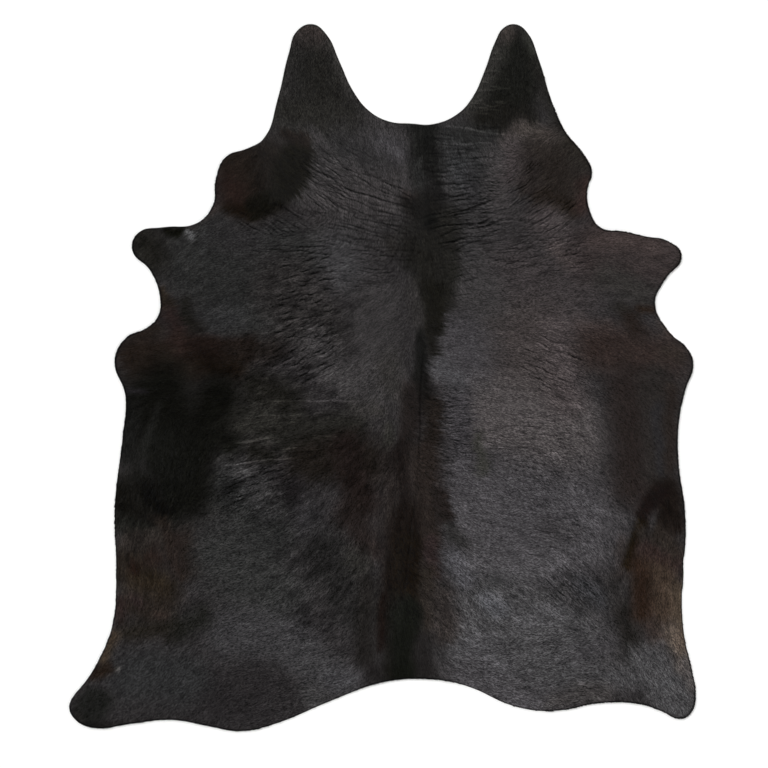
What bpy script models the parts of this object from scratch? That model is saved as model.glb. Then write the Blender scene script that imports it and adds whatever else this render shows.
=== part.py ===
"""Cowhide rug: one whole hide, tanned with its short coat on and laid flat, hair side up.

A hide is a single piece of skin, so it is a single solid. Its cut edge is a closed Bezier
curve, its flesh side lies flat on the floor, and its hair side has the thickness of skin
and coat, the ridge of the back, and the soft folds that a hide keeps from the animal.

Metres, +Z up. +Y points to the neck and +X to the right of someone who looks down on the
hide with its neck away from them. The origin is on the floor, under the middle of the hide.
"""

import math
from collections import namedtuple

import bmesh
import bpy
from mathutils import Vector, kdtree, noise

# Driving sizes, in metres.
HIDE_WIDTH = 1.878  # across the hind legs, the widest place
HIDE_LENGTH = 2.120  # from the tips of the neck flaps to the lowest point of the hind edge
RIM_THICKNESS = 0.0034  # skin and pressed coat at the cut edge
FLANK_THICKNESS = 0.0042  # skin and coat over belly and legs
BACK_THICKNESS = 0.0056  # skin and coat along the back, where a hide is thickest
BACK_SPREAD = 0.30  # distance from the back over which the skin thins
RIM_ROUND = 0.0014  # rounding of the edge's upper corner
RIM_SLOPE = 0.055  # distance from the edge over which it reaches its full thickness
RIDGE_HEIGHT = 0.0032  # fold along the back, above the skin beside it
RIDGE_HALF_WIDTH = 0.034
WAVE_HEIGHT = 0.0011  # uneven lie of the leather between its folds
WAVE_LENGTH = 0.26
THINNEST = 0.0024  # in the deepest fold
CELL = 0.032  # spacing of the points that carry the hair side's relief

CURVE_STEPS = 4  # straight lines between one point of the outline and the next
ROUND_STEPS = 2
WELD = 1e-5
FLAT = 1e-6  # heights closer than this count as the same
SHARP = math.radians(40)  # edges steeper than this are not shaded smooth

COAT_COLOUR = (0.0137, 0.0110, 0.0103, 1.0)  # black-brown
COAT_ROUGHNESS = 0.42

# The cut edge, clockwise from the left neck flap, as (x, y) in centimetres from the middle
# of the hide. Each point is where the edge turns, and the curve between them is smooth.
OUTLINE = {
    "left neck flap": (
        (-31.5, 83.2), (-28.0, 97.6), (-25.6, 104.0), (-21.0, 106.0), (-17.0, 103.2),
        (-12.9, 94.8), (-9.0, 86.3),
    ),
    "neck bay": (
        (-4.0, 80.0), (2.1, 76.8), (8.6, 76.2), (15.0, 76.0), (22.5, 79.1), (27.0, 84.1),
    ),
    "right neck flap": (
        (30.6, 92.0), (33.9, 101.0), (36.2, 104.8), (39.6, 106.0), (42.9, 104.1),
        (46.9, 95.2), (50.3, 84.1),
    ),
    "right cheek": (
        (54.5, 74.2), (60.6, 66.5), (62.7, 61.9), (61.3, 56.0), (61.9, 50.5),
    ),
    "right foreleg": (
        (65.4, 44.9), (72.0, 43.9), (79.2, 42.3), (85.2, 41.1), (89.6, 36.6), (84.6, 29.4),
    ),
    "right elbow": (
        (81.6, 22.3), (85.6, 14.0), (91.8, 8.0), (93.1, 3.7), (90.8, -3.4),
    ),
    "right flank": (
        (88.8, -12.8), (88.7, -26.3), (90.6, -39.8), (90.7, -50.3), (90.1, -55.4),
        (90.2, -59.2), (89.7, -65.3), (90.4, -77.3),
    ),
    "right hind leg": (
        (92.6, -87.5), (93.8, -95.0), (92.5, -100.4), (89.4, -102.3), (84.0, -100.2),
    ),
    "hind edge": (
        (77.7, -98.0), (66.0, -97.5), (50.7, -100.0), (39.6, -98.6), (25.2, -92.5),
        (15.0, -90.5), (0.3, -91.3), (-15.6, -97.0), (-33.0, -104.1), (-42.6, -106.0),
        (-52.5, -104.4), (-63.0, -102.6),
    ),
    "left hind leg": (
        (-75.6, -103.8), (-86.7, -105.0), (-92.3, -102.2), (-93.8, -98.6), (-92.6, -95.6),
        (-89.4, -91.7), (-85.2, -85.1), (-80.8, -73.7),
    ),
    "left flank": (
        (-79.8, -59.3), (-80.2, -38.3), (-77.9, -18.2),
    ),
    "left elbow": (
        (-77.0, -5.3), (-80.2, 5.0), (-76.8, 11.9), (-70.6, 14.9), (-67.4, 18.0),
    ),
    "left foreleg": (
        (-66.5, 23.2), (-69.6, 32.2), (-74.9, 38.2), (-73.2, 43.4), (-65.7, 45.1),
    ),
    "left cheek": (
        (-55.5, 46.4), (-50.6, 52.1), (-50.0, 59.2), (-46.8, 66.3), (-40.6, 68.7),
        (-35.7, 71.6),
    ),
}

# The ridge of the back from the neck bay to the hind edge, as (x, y) in centimetres.
BACK_LINE = (
    (14.4, 76.0), (13.0, 53.0), (14.2, 30.0), (12.4, 12.0), (10.5, -28.0), (6.2, -67.0),
    (5.2, -91.0),
)

# Other folds. Each runs straight from one end to the other: ends and half width are in
# centimetres, the height is in millimetres, and a trough's height is below zero.
Fold = namedtuple("Fold", "x0 y0 x1 y1 half_width height")
FOLDS = {
    "left armpit pocket": Fold(-29.0, 72.0, -24.0, 56.0, 6.0, -1.4),
    "left armpit edge": Fold(-20.0, 74.0, -13.0, 57.0, 4.0, 1.8),
    "right armpit pocket": Fold(55.0, 70.0, 54.0, 54.0, 6.0, -1.4),
    "right armpit edge": Fold(40.0, 68.0, 46.0, 54.0, 4.5, 1.6),
    "left shoulder swell": Fold(-45.0, 36.0, -24.0, 24.0, 9.0, 1.2),
    "left elbow crease": Fold(-66.0, 12.0, -36.0, 8.0, 4.0, -1.2),
    "left flank pocket": Fold(-69.0, -16.0, -66.0, -36.0, 5.0, -1.4),
    "left storage crease": Fold(-46.0, -22.0, -21.0, -18.0, 3.0, 1.0),
    "left stifle fold": Fold(-70.0, -34.0, -58.0, -56.0, 4.0, 1.8),
    "right elbow crease": Fold(70.0, 8.0, 86.0, 12.0, 4.0, -1.0),
    "right stifle fold": Fold(87.0, -33.0, 72.0, -54.0, 4.0, 2.6),
    "right stifle pocket": Fold(82.0, -46.0, 84.0, -72.0, 5.0, -1.2),
    "tail root swell": Fold(5.0, -78.0, 5.5, -89.0, 6.0, 1.0),
}


def clear_scene():
    for found in list(bpy.data.objects):
        bpy.data.objects.remove(found, do_unlink=True)


def outline_curve():
    """The cut edge as a filled 2D curve, as thick as the rim and with its flesh side at z = 0."""
    data = bpy.data.curves.new("cut edge", "CURVE")
    data.dimensions = "2D"
    data.fill_mode = "BOTH"
    data.extrude = RIM_THICKNESS / 2
    data.resolution_u = CURVE_STEPS
    points = [point for stretch in OUTLINE.values() for point in stretch]
    spline = data.splines.new("BEZIER")
    spline.bezier_points.add(len(points) - 1)
    for knot, (x, y) in zip(spline.bezier_points, points):
        knot.co = (x / 100, y / 100, 0.0)
        knot.handle_left_type = knot.handle_right_type = "AUTO"
    spline.use_cyclic_u = True
    curve = bpy.data.objects.new("cut edge", data)
    curve.location.z = RIM_THICKNESS / 2
    bpy.context.scene.collection.objects.link(curve)
    bpy.context.view_layer.update()
    return curve


def mesh_of_curve(curve):
    """The curve's filled form as a mesh in world space. The curve itself is removed."""
    evaluated = curve.evaluated_get(bpy.context.evaluated_depsgraph_get())
    mesh = bpy.data.meshes.new_from_object(evaluated)
    mesh.transform(curve.matrix_world)
    bpy.data.objects.remove(curve, do_unlink=True)
    return mesh


def fit_to_size(bm):
    """Centres the hide on the origin and brings it to the driving width and length."""
    for axis, size in ((0, HIDE_WIDTH), (1, HIDE_LENGTH)):
        places = [vertex.co[axis] for vertex in bm.verts]
        low, high = min(places), max(places)
        for vertex in bm.verts:
            vertex.co[axis] = (vertex.co[axis] - (low + high) / 2) * size / (high - low)


def faces_at(bm, height):
    return [f for f in bm.faces if all(abs(v.co.z - height) < FLAT for v in f.verts)]


def close_and_round(bm):
    """Welds the caps to the edge, makes each cap one face, and rounds the upper corner."""
    bmesh.ops.remove_doubles(bm, verts=bm.verts, dist=WELD)
    for height in (0.0, RIM_THICKNESS):
        bmesh.ops.dissolve_faces(bm, faces=faces_at(bm, height))
    (upper,) = faces_at(bm, RIM_THICKNESS)
    bmesh.ops.bevel(
        bm,
        geom=list(upper.edges),
        offset=RIM_ROUND,
        offset_type="OFFSET",
        segments=ROUND_STEPS,
        profile=0.5,
        affect="EDGES",
        clamp_overlap=False,
    )


def cut_hair_side(bm, axis, size):
    """Cuts the hair side along lines one cell apart, across the given axis."""
    normal = Vector((0.0, 0.0, 0.0))
    normal[axis] = 1.0
    lines = math.floor(size / 2 / CELL)
    for line in range(-lines, lines + 1):
        faces = faces_at(bm, RIM_THICKNESS)
        edges = {edge for face in faces for edge in face.edges}
        verts = {vertex for face in faces for vertex in face.verts}
        bmesh.ops.bisect_plane(
            bm,
            geom=[*verts, *edges, *faces],
            dist=FLAT,
            plane_co=normal * (line * CELL),
            plane_no=normal,
        )


def distance_to_segment(place, start, end):
    along = end - start
    share = max(0.0, min(1.0, (place - start).dot(along) / along.length_squared))
    return (place - start - along * share).length


def distance_to_back(place):
    line = [Vector((x / 100, y / 100)) for x, y in BACK_LINE]
    return min(distance_to_segment(place, a, b) for a, b in zip(line, line[1:]))


def hump(distance, half_width):
    """A soft round swell: 1 on its line, and next to nothing two half widths away."""
    return math.exp(-((distance / half_width) ** 2))


def fold_height(place):
    height = 0.0
    for fold in FOLDS.values():
        start = Vector((fold.x0 / 100, fold.y0 / 100))
        end = Vector((fold.x1 / 100, fold.y1 / 100))
        away = distance_to_segment(place, start, end)
        height += hump(away, fold.half_width / 100) * fold.height / 1000
    return height


def hair_side_height(place, to_edge):
    """Height of the hair side over the floor: skin and coat, ridge, folds and waves, which
    all die away towards the cut edge."""
    to_back = distance_to_back(place)
    skin = FLANK_THICKNESS + (BACK_THICKNESS - FLANK_THICKNESS) * hump(to_back, BACK_SPREAD)
    ridge = RIDGE_HEIGHT * hump(to_back, RIDGE_HALF_WIDTH)
    wave = WAVE_HEIGHT * noise.noise(Vector((place.x, place.y, 0.0)) / WAVE_LENGTH)
    share = min(1.0, to_edge / RIM_SLOPE)
    rise = share * share * (3 - 2 * share)
    full = skin + ridge + fold_height(place) + wave
    return max(THINNEST, RIM_THICKNESS + (full - RIM_THICKNESS) * rise)


def raise_hair_side(bm):
    faces = faces_at(bm, RIM_THICKNESS)
    patch = set(faces)
    verts = {vertex for face in faces for vertex in face.verts}
    rim = [v for v in verts if any(face not in patch for face in v.link_faces)]
    tree = kdtree.KDTree(len(rim))
    for index, vertex in enumerate(rim):
        tree.insert(vertex.co, index)
    tree.balance()
    for vertex in verts.difference(rim):
        _, _, to_edge = tree.find(vertex.co)
        vertex.co.z = hair_side_height(vertex.co.to_2d(), to_edge)


def coat_material():
    """Short glossy hair, black with a brown cast."""
    material = bpy.data.materials.new("black-brown cowhide")
    material.use_nodes = True
    shader = material.node_tree.nodes["Principled BSDF"]
    shader.inputs["Base Color"].default_value = COAT_COLOUR
    shader.inputs["Roughness"].default_value = COAT_ROUGHNESS
    shader.inputs["Metallic"].default_value = 0.0
    return material


def build_hide():
    mesh = mesh_of_curve(outline_curve())
    bm = bmesh.new()
    bm.from_mesh(mesh)
    fit_to_size(bm)
    close_and_round(bm)
    cut_hair_side(bm, 0, HIDE_WIDTH)
    cut_hair_side(bm, 1, HIDE_LENGTH)
    raise_hair_side(bm)
    bmesh.ops.recalc_face_normals(bm, faces=bm.faces)
    bm.to_mesh(mesh)
    bm.free()
    mesh.shade_smooth()
    mesh.set_sharp_from_angle(angle=SHARP)
    mesh.materials.clear()
    mesh.materials.append(coat_material())
    mesh.name = "hide"
    return bpy.data.objects.new("hide", mesh)


def main():
    clear_scene()
    rug = bpy.data.collections.new("Cowhide rug")
    bpy.context.scene.collection.children.link(rug)
    rug.objects.link(build_hide())


main()
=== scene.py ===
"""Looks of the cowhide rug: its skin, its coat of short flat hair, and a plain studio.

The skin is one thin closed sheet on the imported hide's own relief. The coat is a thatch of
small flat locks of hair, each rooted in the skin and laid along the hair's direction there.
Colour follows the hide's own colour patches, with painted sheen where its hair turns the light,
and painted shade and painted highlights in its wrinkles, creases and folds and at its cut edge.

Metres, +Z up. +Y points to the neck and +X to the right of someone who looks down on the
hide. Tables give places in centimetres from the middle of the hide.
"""

import math
from collections import namedtuple
from functools import cache
from itertools import starmap

import bpy
import numpy as np
from bpy.props import FloatProperty, FloatVectorProperty, IntProperty, PointerProperty
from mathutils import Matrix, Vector, geometry


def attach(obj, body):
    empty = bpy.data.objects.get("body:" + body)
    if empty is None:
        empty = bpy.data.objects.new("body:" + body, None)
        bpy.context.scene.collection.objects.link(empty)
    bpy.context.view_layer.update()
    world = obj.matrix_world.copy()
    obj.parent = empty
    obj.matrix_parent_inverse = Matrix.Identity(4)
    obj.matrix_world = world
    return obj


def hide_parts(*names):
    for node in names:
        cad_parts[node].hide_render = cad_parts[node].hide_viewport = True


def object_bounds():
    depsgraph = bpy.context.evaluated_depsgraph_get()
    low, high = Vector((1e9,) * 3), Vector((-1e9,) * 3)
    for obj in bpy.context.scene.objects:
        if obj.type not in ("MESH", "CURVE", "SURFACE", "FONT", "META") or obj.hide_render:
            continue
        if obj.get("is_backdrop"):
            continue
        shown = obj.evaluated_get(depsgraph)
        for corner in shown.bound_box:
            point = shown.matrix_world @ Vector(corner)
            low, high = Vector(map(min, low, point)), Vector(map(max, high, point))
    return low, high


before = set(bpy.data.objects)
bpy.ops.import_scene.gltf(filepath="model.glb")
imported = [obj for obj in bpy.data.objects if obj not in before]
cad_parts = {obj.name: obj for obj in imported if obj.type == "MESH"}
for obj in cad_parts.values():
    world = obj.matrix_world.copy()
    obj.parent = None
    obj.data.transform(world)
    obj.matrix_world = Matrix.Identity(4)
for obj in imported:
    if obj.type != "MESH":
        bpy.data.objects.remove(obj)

CAD_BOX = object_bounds()

bl_info = {
    "name": "Cowhide rug",
    "version": (1, 0, 0),
    "blender": (4, 5, 0),
    "location": "3D View > Sidebar > Rug",
    "description": "Makes the skin, the coat and the studio of a hair-on cowhide rug",
    "category": "Object",
}

CM = 0.01
MM = 0.001

# ----------------------------------------
# Tables. A named tuple above each one names its columns, and a row may leave out the last of
# them. Angles are in degrees, anticlockwise from +X.

# How the hair lies: the way its tips point, how strongly neighbouring locks differ in tone,
# how strongly the coat is streaked at the scale of a finger, and how far in millimetres
# strands of one patch of PATCHES reach into the next.
Lie = namedtuple("Lie", "x y angle grain mottle feather", defaults=(10,))
LIES = {
    "left flap tip": (-21, 100, -95, 0.17, 0.05),
    "left flap foot": (-20, 82, -88, 0.16, 0.05),
    "right flap tip": (40, 100, -85, 0.13, 0.05),
    "right flap foot": (38, 82, -92, 0.13, 0.05),
    "left cheek": (-44, 60, -140, 0.08, 0.05),
    "left armpit": (-27, 63, -35, 0.13, 0.15, 18),
    "left armpit edge": (-16, 60, -25, 0.13, 0.12, 26),
    "left neck": (-2, 62, -75, 0.11, 0.12),
    "left neck low": (-5, 45, -95, 0.12, 0.12),
    "neck ridge": (13, 66, -90, 0.13, 0.15, 8),
    "right neck": (24, 62, -60, 0.13, 0.12, 16),
    "right neck low": (27, 45, -10, 0.13, 0.12),
    "right armpit edge": (42, 56, 38, 0.12, 0.10, 15),
    "right armpit": (51, 64, 45, 0.12, 0.08, 13),
    "right cheek": (59, 53, 50, 0.10, 0.08),
    "right shoulder top": (50, 42, 18, 0.14, 0.10),
    "left withers": (-24, 42, -165, 0.13, 0.12),
    "left shoulder": (-45, 34, -165, 0.13, 0.08),
    "left foreleg": (-66, 39, -140, 0.12, 0.15),
    "left elbow": (-66, 8, -172, 0.10, 0.10),
    "left mottle top": (-26, 33, -172, 0.15, 0.24, 16),
    "left mottle": (-22, 20, -158, 0.17, 0.34, 16),
    "left mottle low": (-28, 2, -155, 0.17, 0.25, 16),
    "left of back": (-1, 18, -145, 0.09, 0.06),
    "left of withers": (-6, 33, -172, 0.10, 0.06),
    "back": (12, 30, -90, 0.12, 0.12, 8),
    "back low": (8, -40, -90, 0.12, 0.10, 8),
    "tail root": (6, -84, -90, 0.08, 0.05),
    "right of back": (24, 14, -2, 0.11, 0.06, 14),
    "right shoulder": (45, 28, 4, 0.14, 0.10),
    "right foreleg": (75, 36, -10, 0.10, 0.10),
    "right elbow": (80, 6, -25, 0.12, 0.08),
    "left dark band": (-22, -14, -165, 0.16, 0.18),
    "left flank upper": (-62, -3, -170, 0.10, 0.06),
    "left brown band": (-5, -30, -130, 0.15, 0.20, 16),
    "left flank": (-66, -22, -95, 0.10, 0.06),
    "left tufts": (-40, -32, -155, 0.2, 0.26, 16),
    "left grey": (-45, -55, -170, 0.18, 0.07),
    "left mottled": (-18, -62, -135, 0.18, 0.26, 16),
    "left stifle": (-70, -60, -95, 0.13, 0.20),
    "left hind": (-58, -78, -138, 0.18, 0.07),
    "left hind low": (-62, -96, -138, 0.15, 0.06),
    "left hind edge": (-20, -90, -168, 0.18, 0.1),
    "left haunch": (-38, -82, -170, 0.17, 0.08),
    "right by back": (24, -15, -4, 0.17, 0.10, 14),
    "right side": (42, -12, -10, 0.14, 0.08),
    "right side edge": (58, -8, -28, 0.17, 0.12),
    "right flank": (76, -15, -55, 0.11, 0.05),
    "right of loin": (20, -34, -12, 0.17, 0.10, 14),
    "right of croup": (21, -50, -22, 0.17, 0.12, 14),
    "right sparkle": (54, -30, -30, 0.20, 0.12),
    "right lower": (40, -48, -3, 0.15, 0.08),
    "right herringbone": (57, -65, -45, 0.20, 0.16, 16),
    "right stifle": (82, -60, -95, 0.12, 0.15),
    "right hind": (50, -82, 12, 0.19, 0.14),
    "right hind low": (84, -92, -58, 0.18, 0.14),
    "right by tail": (22, -70, -55, 0.20, 0.18),
    "right haunch low": (30, -86, -6, 0.19, 0.14),
}

# The hide's own colour, painted sheen and painted shade, painted one over the other: a
# soft-edged band along a straight line. Grey and pale patches are painted sheen where the hair
# turns the light, those named glint or glow are painted highlights, and those named shade or
# shadow are painted shade. Brown, red, tan and gold patches are the hide's own colour.
# spread is the half width that has the full colour, and soft the width over which it fades.
Patch = namedtuple("Patch", "x0 y0 x1 y1 spread soft colour strength", defaults=(1.0,))
COAT_GREY = "#2f2d2e"
PATCHES = {
    # neck and its flaps
    "left neck": (-10, 66, -5, 47, 10, 8, "#373536"),
    "left neck light": (-16, 52, -2, 56, 4, 7, "#3a3738", 0.7),
    "right neck": (24, 64, 30, 42, 9, 8, "#323132"),
    "left flap": (-20, 96, -17, 82, 7, 6, "#222120"),
    "left flap core": (-19, 92, -16, 84, 2, 4, "#201f1d", 0.8),
    "left flap foot": (-31, 79, -12, 77, 3, 4, "#252422"),
    "left flap tip": (-24, 104, -18, 103, 1.2, 5, "#373130"),
    "left flap outer edge": (-29, 96, -33, 82, 0.5, 3, "#2b2a29", 0.8),
    "left flap inner edge": (-15, 100, -9, 86, 0.4, 2.5, "#3a3837", 0.8),
    "left neck shade": (-12, 72, 0, 66, 3, 4, "#2a292a", 0.8),
    "right flap": (41, 97, 37, 80, 6, 4, "#191917"),
    "right flap foot": (31, 78, 42, 78, 3, 3, "#1a1917"),
    "right flap tip": (36, 103, 38, 104.5, 0.8, 2.5, "#3b3634"),
    "right flap tip outer": (43.5, 103, 45.5, 98, 0.4, 1.6, "#32322f"),
    "right flap inner edge": (34, 98, 27, 83, 0.8, 3, "#302f2d", 0.9),
    "right flap outer edge": (46, 95, 53, 77, 0.5, 2.5, "#21201e", 0.9),
    "neck bay shade": (19, 73, 33, 72, 1.5, 3, "#252525"),
    "left of ridge glint": (1.5, 70, 5, 68, 1.6, 3, "#403e41"),
    "right neck upper": (21, 67, 29, 64, 2.5, 4, "#2d2d2e", 0.8),
    "right neck cool glow": (22, 63, 23, 58, 1.2, 2.5, "#38393b", 0.8),
    "right neck shade": (25, 60, 27, 54, 1.5, 3, "#2a292b", 0.7),
    "right neck smooth": (35, 66, 37, 48, 2.5, 4, "#3e3b3c", 0.9),
    "right shoulder cool": (34, 44, 44, 38, 5, 6, "#353334", 0.9),
    # armpits and cheeks
    "left cheek": (-44, 62, -42, 54, 5.5, 4, "#25201d"),
    "left cheek red": (-47, 56, -45, 53, 1, 5, "#291f1d", 0.8),
    "left cheek low edge": (-47, 49, -40, 49, 0.8, 2, "#1b1612"),
    "left cheek pink edge": (-58, 46, -52, 50, 0.4, 2, "#3c3432", 0.9),
    "left armpit veil": (-35, 66, -33, 56, 4, 4, "#1d1a18"),
    "left armpit": (-25, 66, -28, 59, 4.4, 1.8, "#161512"),
    "left armpit upper": (-29, 73, -23, 70.5, 1.2, 1.5, "#1f1b19"),
    "left armpit low": (-27, 56, -39, 50, 2.2, 1.5, "#161512"),
    "left armpit rim": (-31, 76, -21.5, 74, 0.5, 1.6, "#2d2c2b", 0.9),
    "left armpit rim side": (-21, 74, -16.5, 69, 0.7, 1.8, "#373536", 0.9),
    "right cheek": (49, 66, 53, 56, 6, 4.5, "#2c2826"),
    "right armpit dark": (49, 64, 53, 57, 1.6, 3, "#282422"),
    "right armpit left": (43, 67, 44, 58, 2.2, 1.8, "#2b2726"),
    "right armpit low": (47.5, 54.5, 57, 50.5, 2, 1.8, "#27221f"),
    "right cheek pink": (60, 59, 60.5, 51, 0.8, 2.4, "#372c2a"),
    "right cheek upper": (55, 72, 60, 66, 1.2, 3, "#2e2b28"),
    "right armpit swirl": (38.5, 71, 41, 75, 1.4, 2.4, "#3f3a3a"),
    "right armpit swirl side": (39.5, 70, 39, 61, 0.8, 2.5, "#403b3c"),
    "right armpit swirl top": (41, 75, 50, 73.5, 1.2, 2.2, "#3e3937"),
    # shoulders and forelegs
    "right shoulder": (42, 30, 54, 24, 7, 7, "#3b3738"),
    "right shoulder glow": (48, 48, 56, 41, 3, 3.5, "#433e3f"),
    "right shoulder glint": (52, 39, 56, 35, 0.8, 2.5, "#4c4545", 0.9),
    "right foreleg": (66, 38, 84, 37, 7, 5, "#383232"),
    "right foreleg pink": (64, 42, 82, 40, 1, 3, "#443b3a", 0.7),
    "right foreleg shade": (68, 30, 77, 25, 2.5, 3.5, "#333130", 0.9),
    "right foreleg edge": (84, 18, 86, 13, 0.6, 2.4, "#463f3c"),
    "right elbow shadow": (71, 20, 74, 17, 0.9, 2, "#282624"),
    # painted shadow of the fold at the elbow
    "right elbow fold shadow": (76, 20.5, 80.5, 20.5, 0.6, 1.2, "#28211d"),
    "left shoulder": (-55, 35, -40, 22, 8, 7, "#2c2c2c"),
    "left shoulder cool": (-51, 17.5, -46, 18, 2, 4, "#2f2f30"),
    "left shoulder pale": (-50, 43, -36, 40, 2, 4, "#2e2d2e", 0.8),
    "left withers": (-30, 40, -22, 37, 4, 5, "#303030", 0.8),
    "left withers pale": (-14, 38, -11, 31, 3.5, 5, "#403f41"),
    "left foreleg": (-72, 40, -69, 37, 3, 4, "#21201e"),
    "left foreleg black": (-64.5, 43.5, -62, 43.3, 0.9, 1.3, "#131310"),
    "left foreleg white spot": (-59.4, 43.4, -57.2, 42, 0.4, 0.8, "#58585a", 0.9),
    "left foreleg streak": (-54.2, 44, -53.4, 37.5, 0.2, 0.8, "#373738", 0.6),
    "left knee tan": (-65.4, 27, -65.2, 21, 0.2, 0.8, "#3c3229", 0.8),
    "left knee shade": (-66, 25, -63, 22, 0.8, 1.8, "#231f1b", 0.9),
    "left shoulder low edge": (-60, 18, -55, 14, 0.6, 2, "#1e1c1a", 0.8),
    "left knee red": (-63.5, 19, -61, 12, 0.8, 3.4, "#292120"),
    "left knee dark": (-58.5, 23, -57.5, 14, 0.7, 1.6, "#1d1c1a", 0.85),
    "left elbow upper": (-73, 12.5, -68, 14.5, 0.8, 2.2, "#26211e", 0.9),
    # left side
    "left of back": (-3, 22, 0, -2, 5, 4.5, "#393738"),
    "left of back low": (2, 4, 4, -4, 2, 3, "#353332", 0.8),
    "left mottle": (-30, 26, -20, 14, 7, 5, "#2f2d2d"),
    "left mottle glow": (-20, 9, -14, 1, 3.5, 4, "#3b393a"),
    "left glow by back": (-12, -2, -6, -4, 2, 4, "#3f3d3e", 0.8),
    "left mottle low": (-38, -4, -30, -8, 3.5, 4, "#1f1e1c"),
    "left dark band": (-46, -12, -28, -16, 4, 4, "#292826"),
    "left dark band inner": (-28, -17, -10, -16, 3.4, 3, "#262523"),
    "left pale by back": (-9, -9.5, -2, -11, 0.8, 2.4, "#383635", 0.9),
    "left loin dark": (-22, -25, -4, -25, 4.5, 4, "#1f1c1a"),
    "left loin dark low": (-27, -33, -27, -41, 1.8, 3, "#1f1d1e"),
    "left loin brown": (-10, -22, -6, -38, 3, 3.5, "#201b1a"),
    "left loin by back": (1, -16, 2, -19, 0.8, 1.6, "#302f2c", 0.8),
    "left grey upper": (-46, -34, -36, -46, 6, 6, "#2a2a2a"),
    "left tufts": (-43, -28, -37, -32, 1.2, 3, "#3b3a3b"),
    "left tufts shade": (-38, -22, -33, -24, 1, 2.4, "#201f1d"),
    "left tufts low": (-41, -33, -36, -40, 1.4, 3, "#353435", 0.7),
    "left loin grey": (-22, -43, -19, -47, 3, 4, "#302f31", 0.8),
    "left croup brown": (-10, -42, -2, -52, 2.5, 4, "#241f1e", 0.9),
    "left croup spot": (-25, -69, -24, -74, 1, 2.4, "#232122"),
    "left croup mottled": (-18, -52, -8, -70, 5, 5, "#262525"),
    "left croup pale": (-8, -54, -6, -58, 1.4, 3, "#2d2c2a", 0.8),
    "left by rump": (-4, -64, -6, -84, 1.8, 3, "#232120", 0.9),
    "left hind by tail": (-4, -88, -2, -89, 1, 2.6, "#222020"),
    "left grey": (-48, -54, -34, -66, 7, 6, "#323232"),
    "left haunch": (-46, -76, -28, -80, 5, 5, "#3b3a3c"),
    "left haunch low": (-52, -98, -38, -94, 5, 5, "#2a2829"),
    "left hind edge glow": (-24, -84, -17, -90, 3, 4, "#3f3e40"),
    "left hind edge glint": (-15, -91, -10, -91, 1.5, 3, "#444346"),
    "left hind edge low": (-22, -95, -18, -100, 2, 3, "#3c3b3c"),
    "left hind": (-74, -90, -60, -90, 5, 5, "#2f2f30"),
    # left elbow and flank
    "left elbow": (-75, 6, -60, 6, 4, 3.5, "#251f1c"),
    "left elbow red": (-62, 11, -57, 4.5, 1.2, 3, "#2a211f", 0.8),
    "left elbow band": (-55, 8.2, -42, 8.4, 3, 1.8, "#201a18"),
    "left elbow band end": (-44, 8, -35, 8, 2.2, 4, "#231f1d", 0.8),
    "left elbow band low": (-55, 3, -45, 2, 2, 3, "#191512"),
    "left elbow foot": (-65, 1, -57, 1, 1.6, 2.4, "#25201d", 0.85),
    "left flank": (-68, -6, -64, -34, 8, 6, "#141412"),
    "left flank inner": (-50, -6, -60, -33, 4, 4, "#131311"),
    "left flank upper": (-45, -20, -50, -18, 2.2, 3, "#171715"),
    "left flank low": (-78, -35, -74, -44, 3, 4, "#151412"),
    "left flank foot": (-79, -44, -71, -48, 1.4, 2.6, "#1d1d1b", 0.9),
    "left flank brown": (-67, -44, -65, -50, 1.4, 2.4, "#221d1a", 0.9),
    "left flank rim": (-76, -8, -77.5, -22, 1.4, 2.4, "#181817"),
    "left flank line": (-68.6, -8, -72.8, -24, 0.4, 1.4, "#20201f", 0.8),
    "left flank line low": (-73, -25, -66, -38, 0.4, 1.4, "#201f1f", 0.8),
    "left flank black": (-70, -33, -66.5, -39, 1.8, 2, "#0f0e0c"),
    "left flank lilac": (-77, -3, -72.5, -3.3, 0.3, 1, "#262427", 0.8),
    # left stifle and hind leg
    "left stifle": (-75.5, -56, -68, -65, 4.4, 4.4, "#27221e"),
    "left stifle gold": (-73, -59, -66, -62, 1.4, 3, "#272017", 0.55),
    "left stifle low": (-75, -67.5, -69, -69, 1.6, 3.4, "#282320"),
    "left stifle top": (-77, -50, -68, -49.5, 1.6, 2, "#2a2624", 0.9),
    "left stifle red": (-70, -54, -67, -55, 0.8, 2.4, "#211815", 0.65),
    "left stifle dark blotch": (-75, -56, -73.5, -57.5, 0.6, 1.6, "#1f1512", 0.8),
    "left stifle rose": (-74.5, -66, -73, -67, 0.4, 1.8, "#302427", 0.45),
    "left stifle rose low": (-68, -71, -66.5, -72, 0.4, 1.6, "#392c29", 0.5),
    "left stifle red rim": (-79, -67, -79, -72, 0.8, 2, "#2a1f1d", 0.7),
    "left stifle inner": (-60.5, -48, -59.5, -58, 1.2, 3.4, "#25211f", 0.85),
    "left stifle gap": (-63, -50, -61.5, -58, 1.2, 2, "#27211f", 0.8),
    "left stifle rim": (-66.4, -48, -60.8, -60, 0.2, 1, "#2d2623", 0.7),
    "left hock dark": (-77, -76, -64, -75, 1.4, 3, "#24211e"),
    "left hock dark inner": (-62, -76, -55, -71, 1.6, 3, "#20201e", 0.85),
    "left hock tan": (-80.8, -77, -83.8, -84.5, 0.6, 1.8, "#3d342c"),
    "left hock brown": (-86.5, -88.5, -82.5, -87, 0.8, 1.6, "#251e1a"),
    "left hock white": (-80.1, -87.2, -79.8, -87.3, 0.1, 0.6, "#6c6a68", 0.8),
    "left hind tip": (-88, -100, -85.5, -97, 4, 1.8, "#1f1f1e"),
    "left hind tip low": (-84, -104.5, -78, -105, 0.8, 2, "#1f1e1d"),
    "left hind tip pale": (-91.5, -100, -90, -102, 0.4, 1.2, "#262423", 0.7),
    # right side
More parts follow.
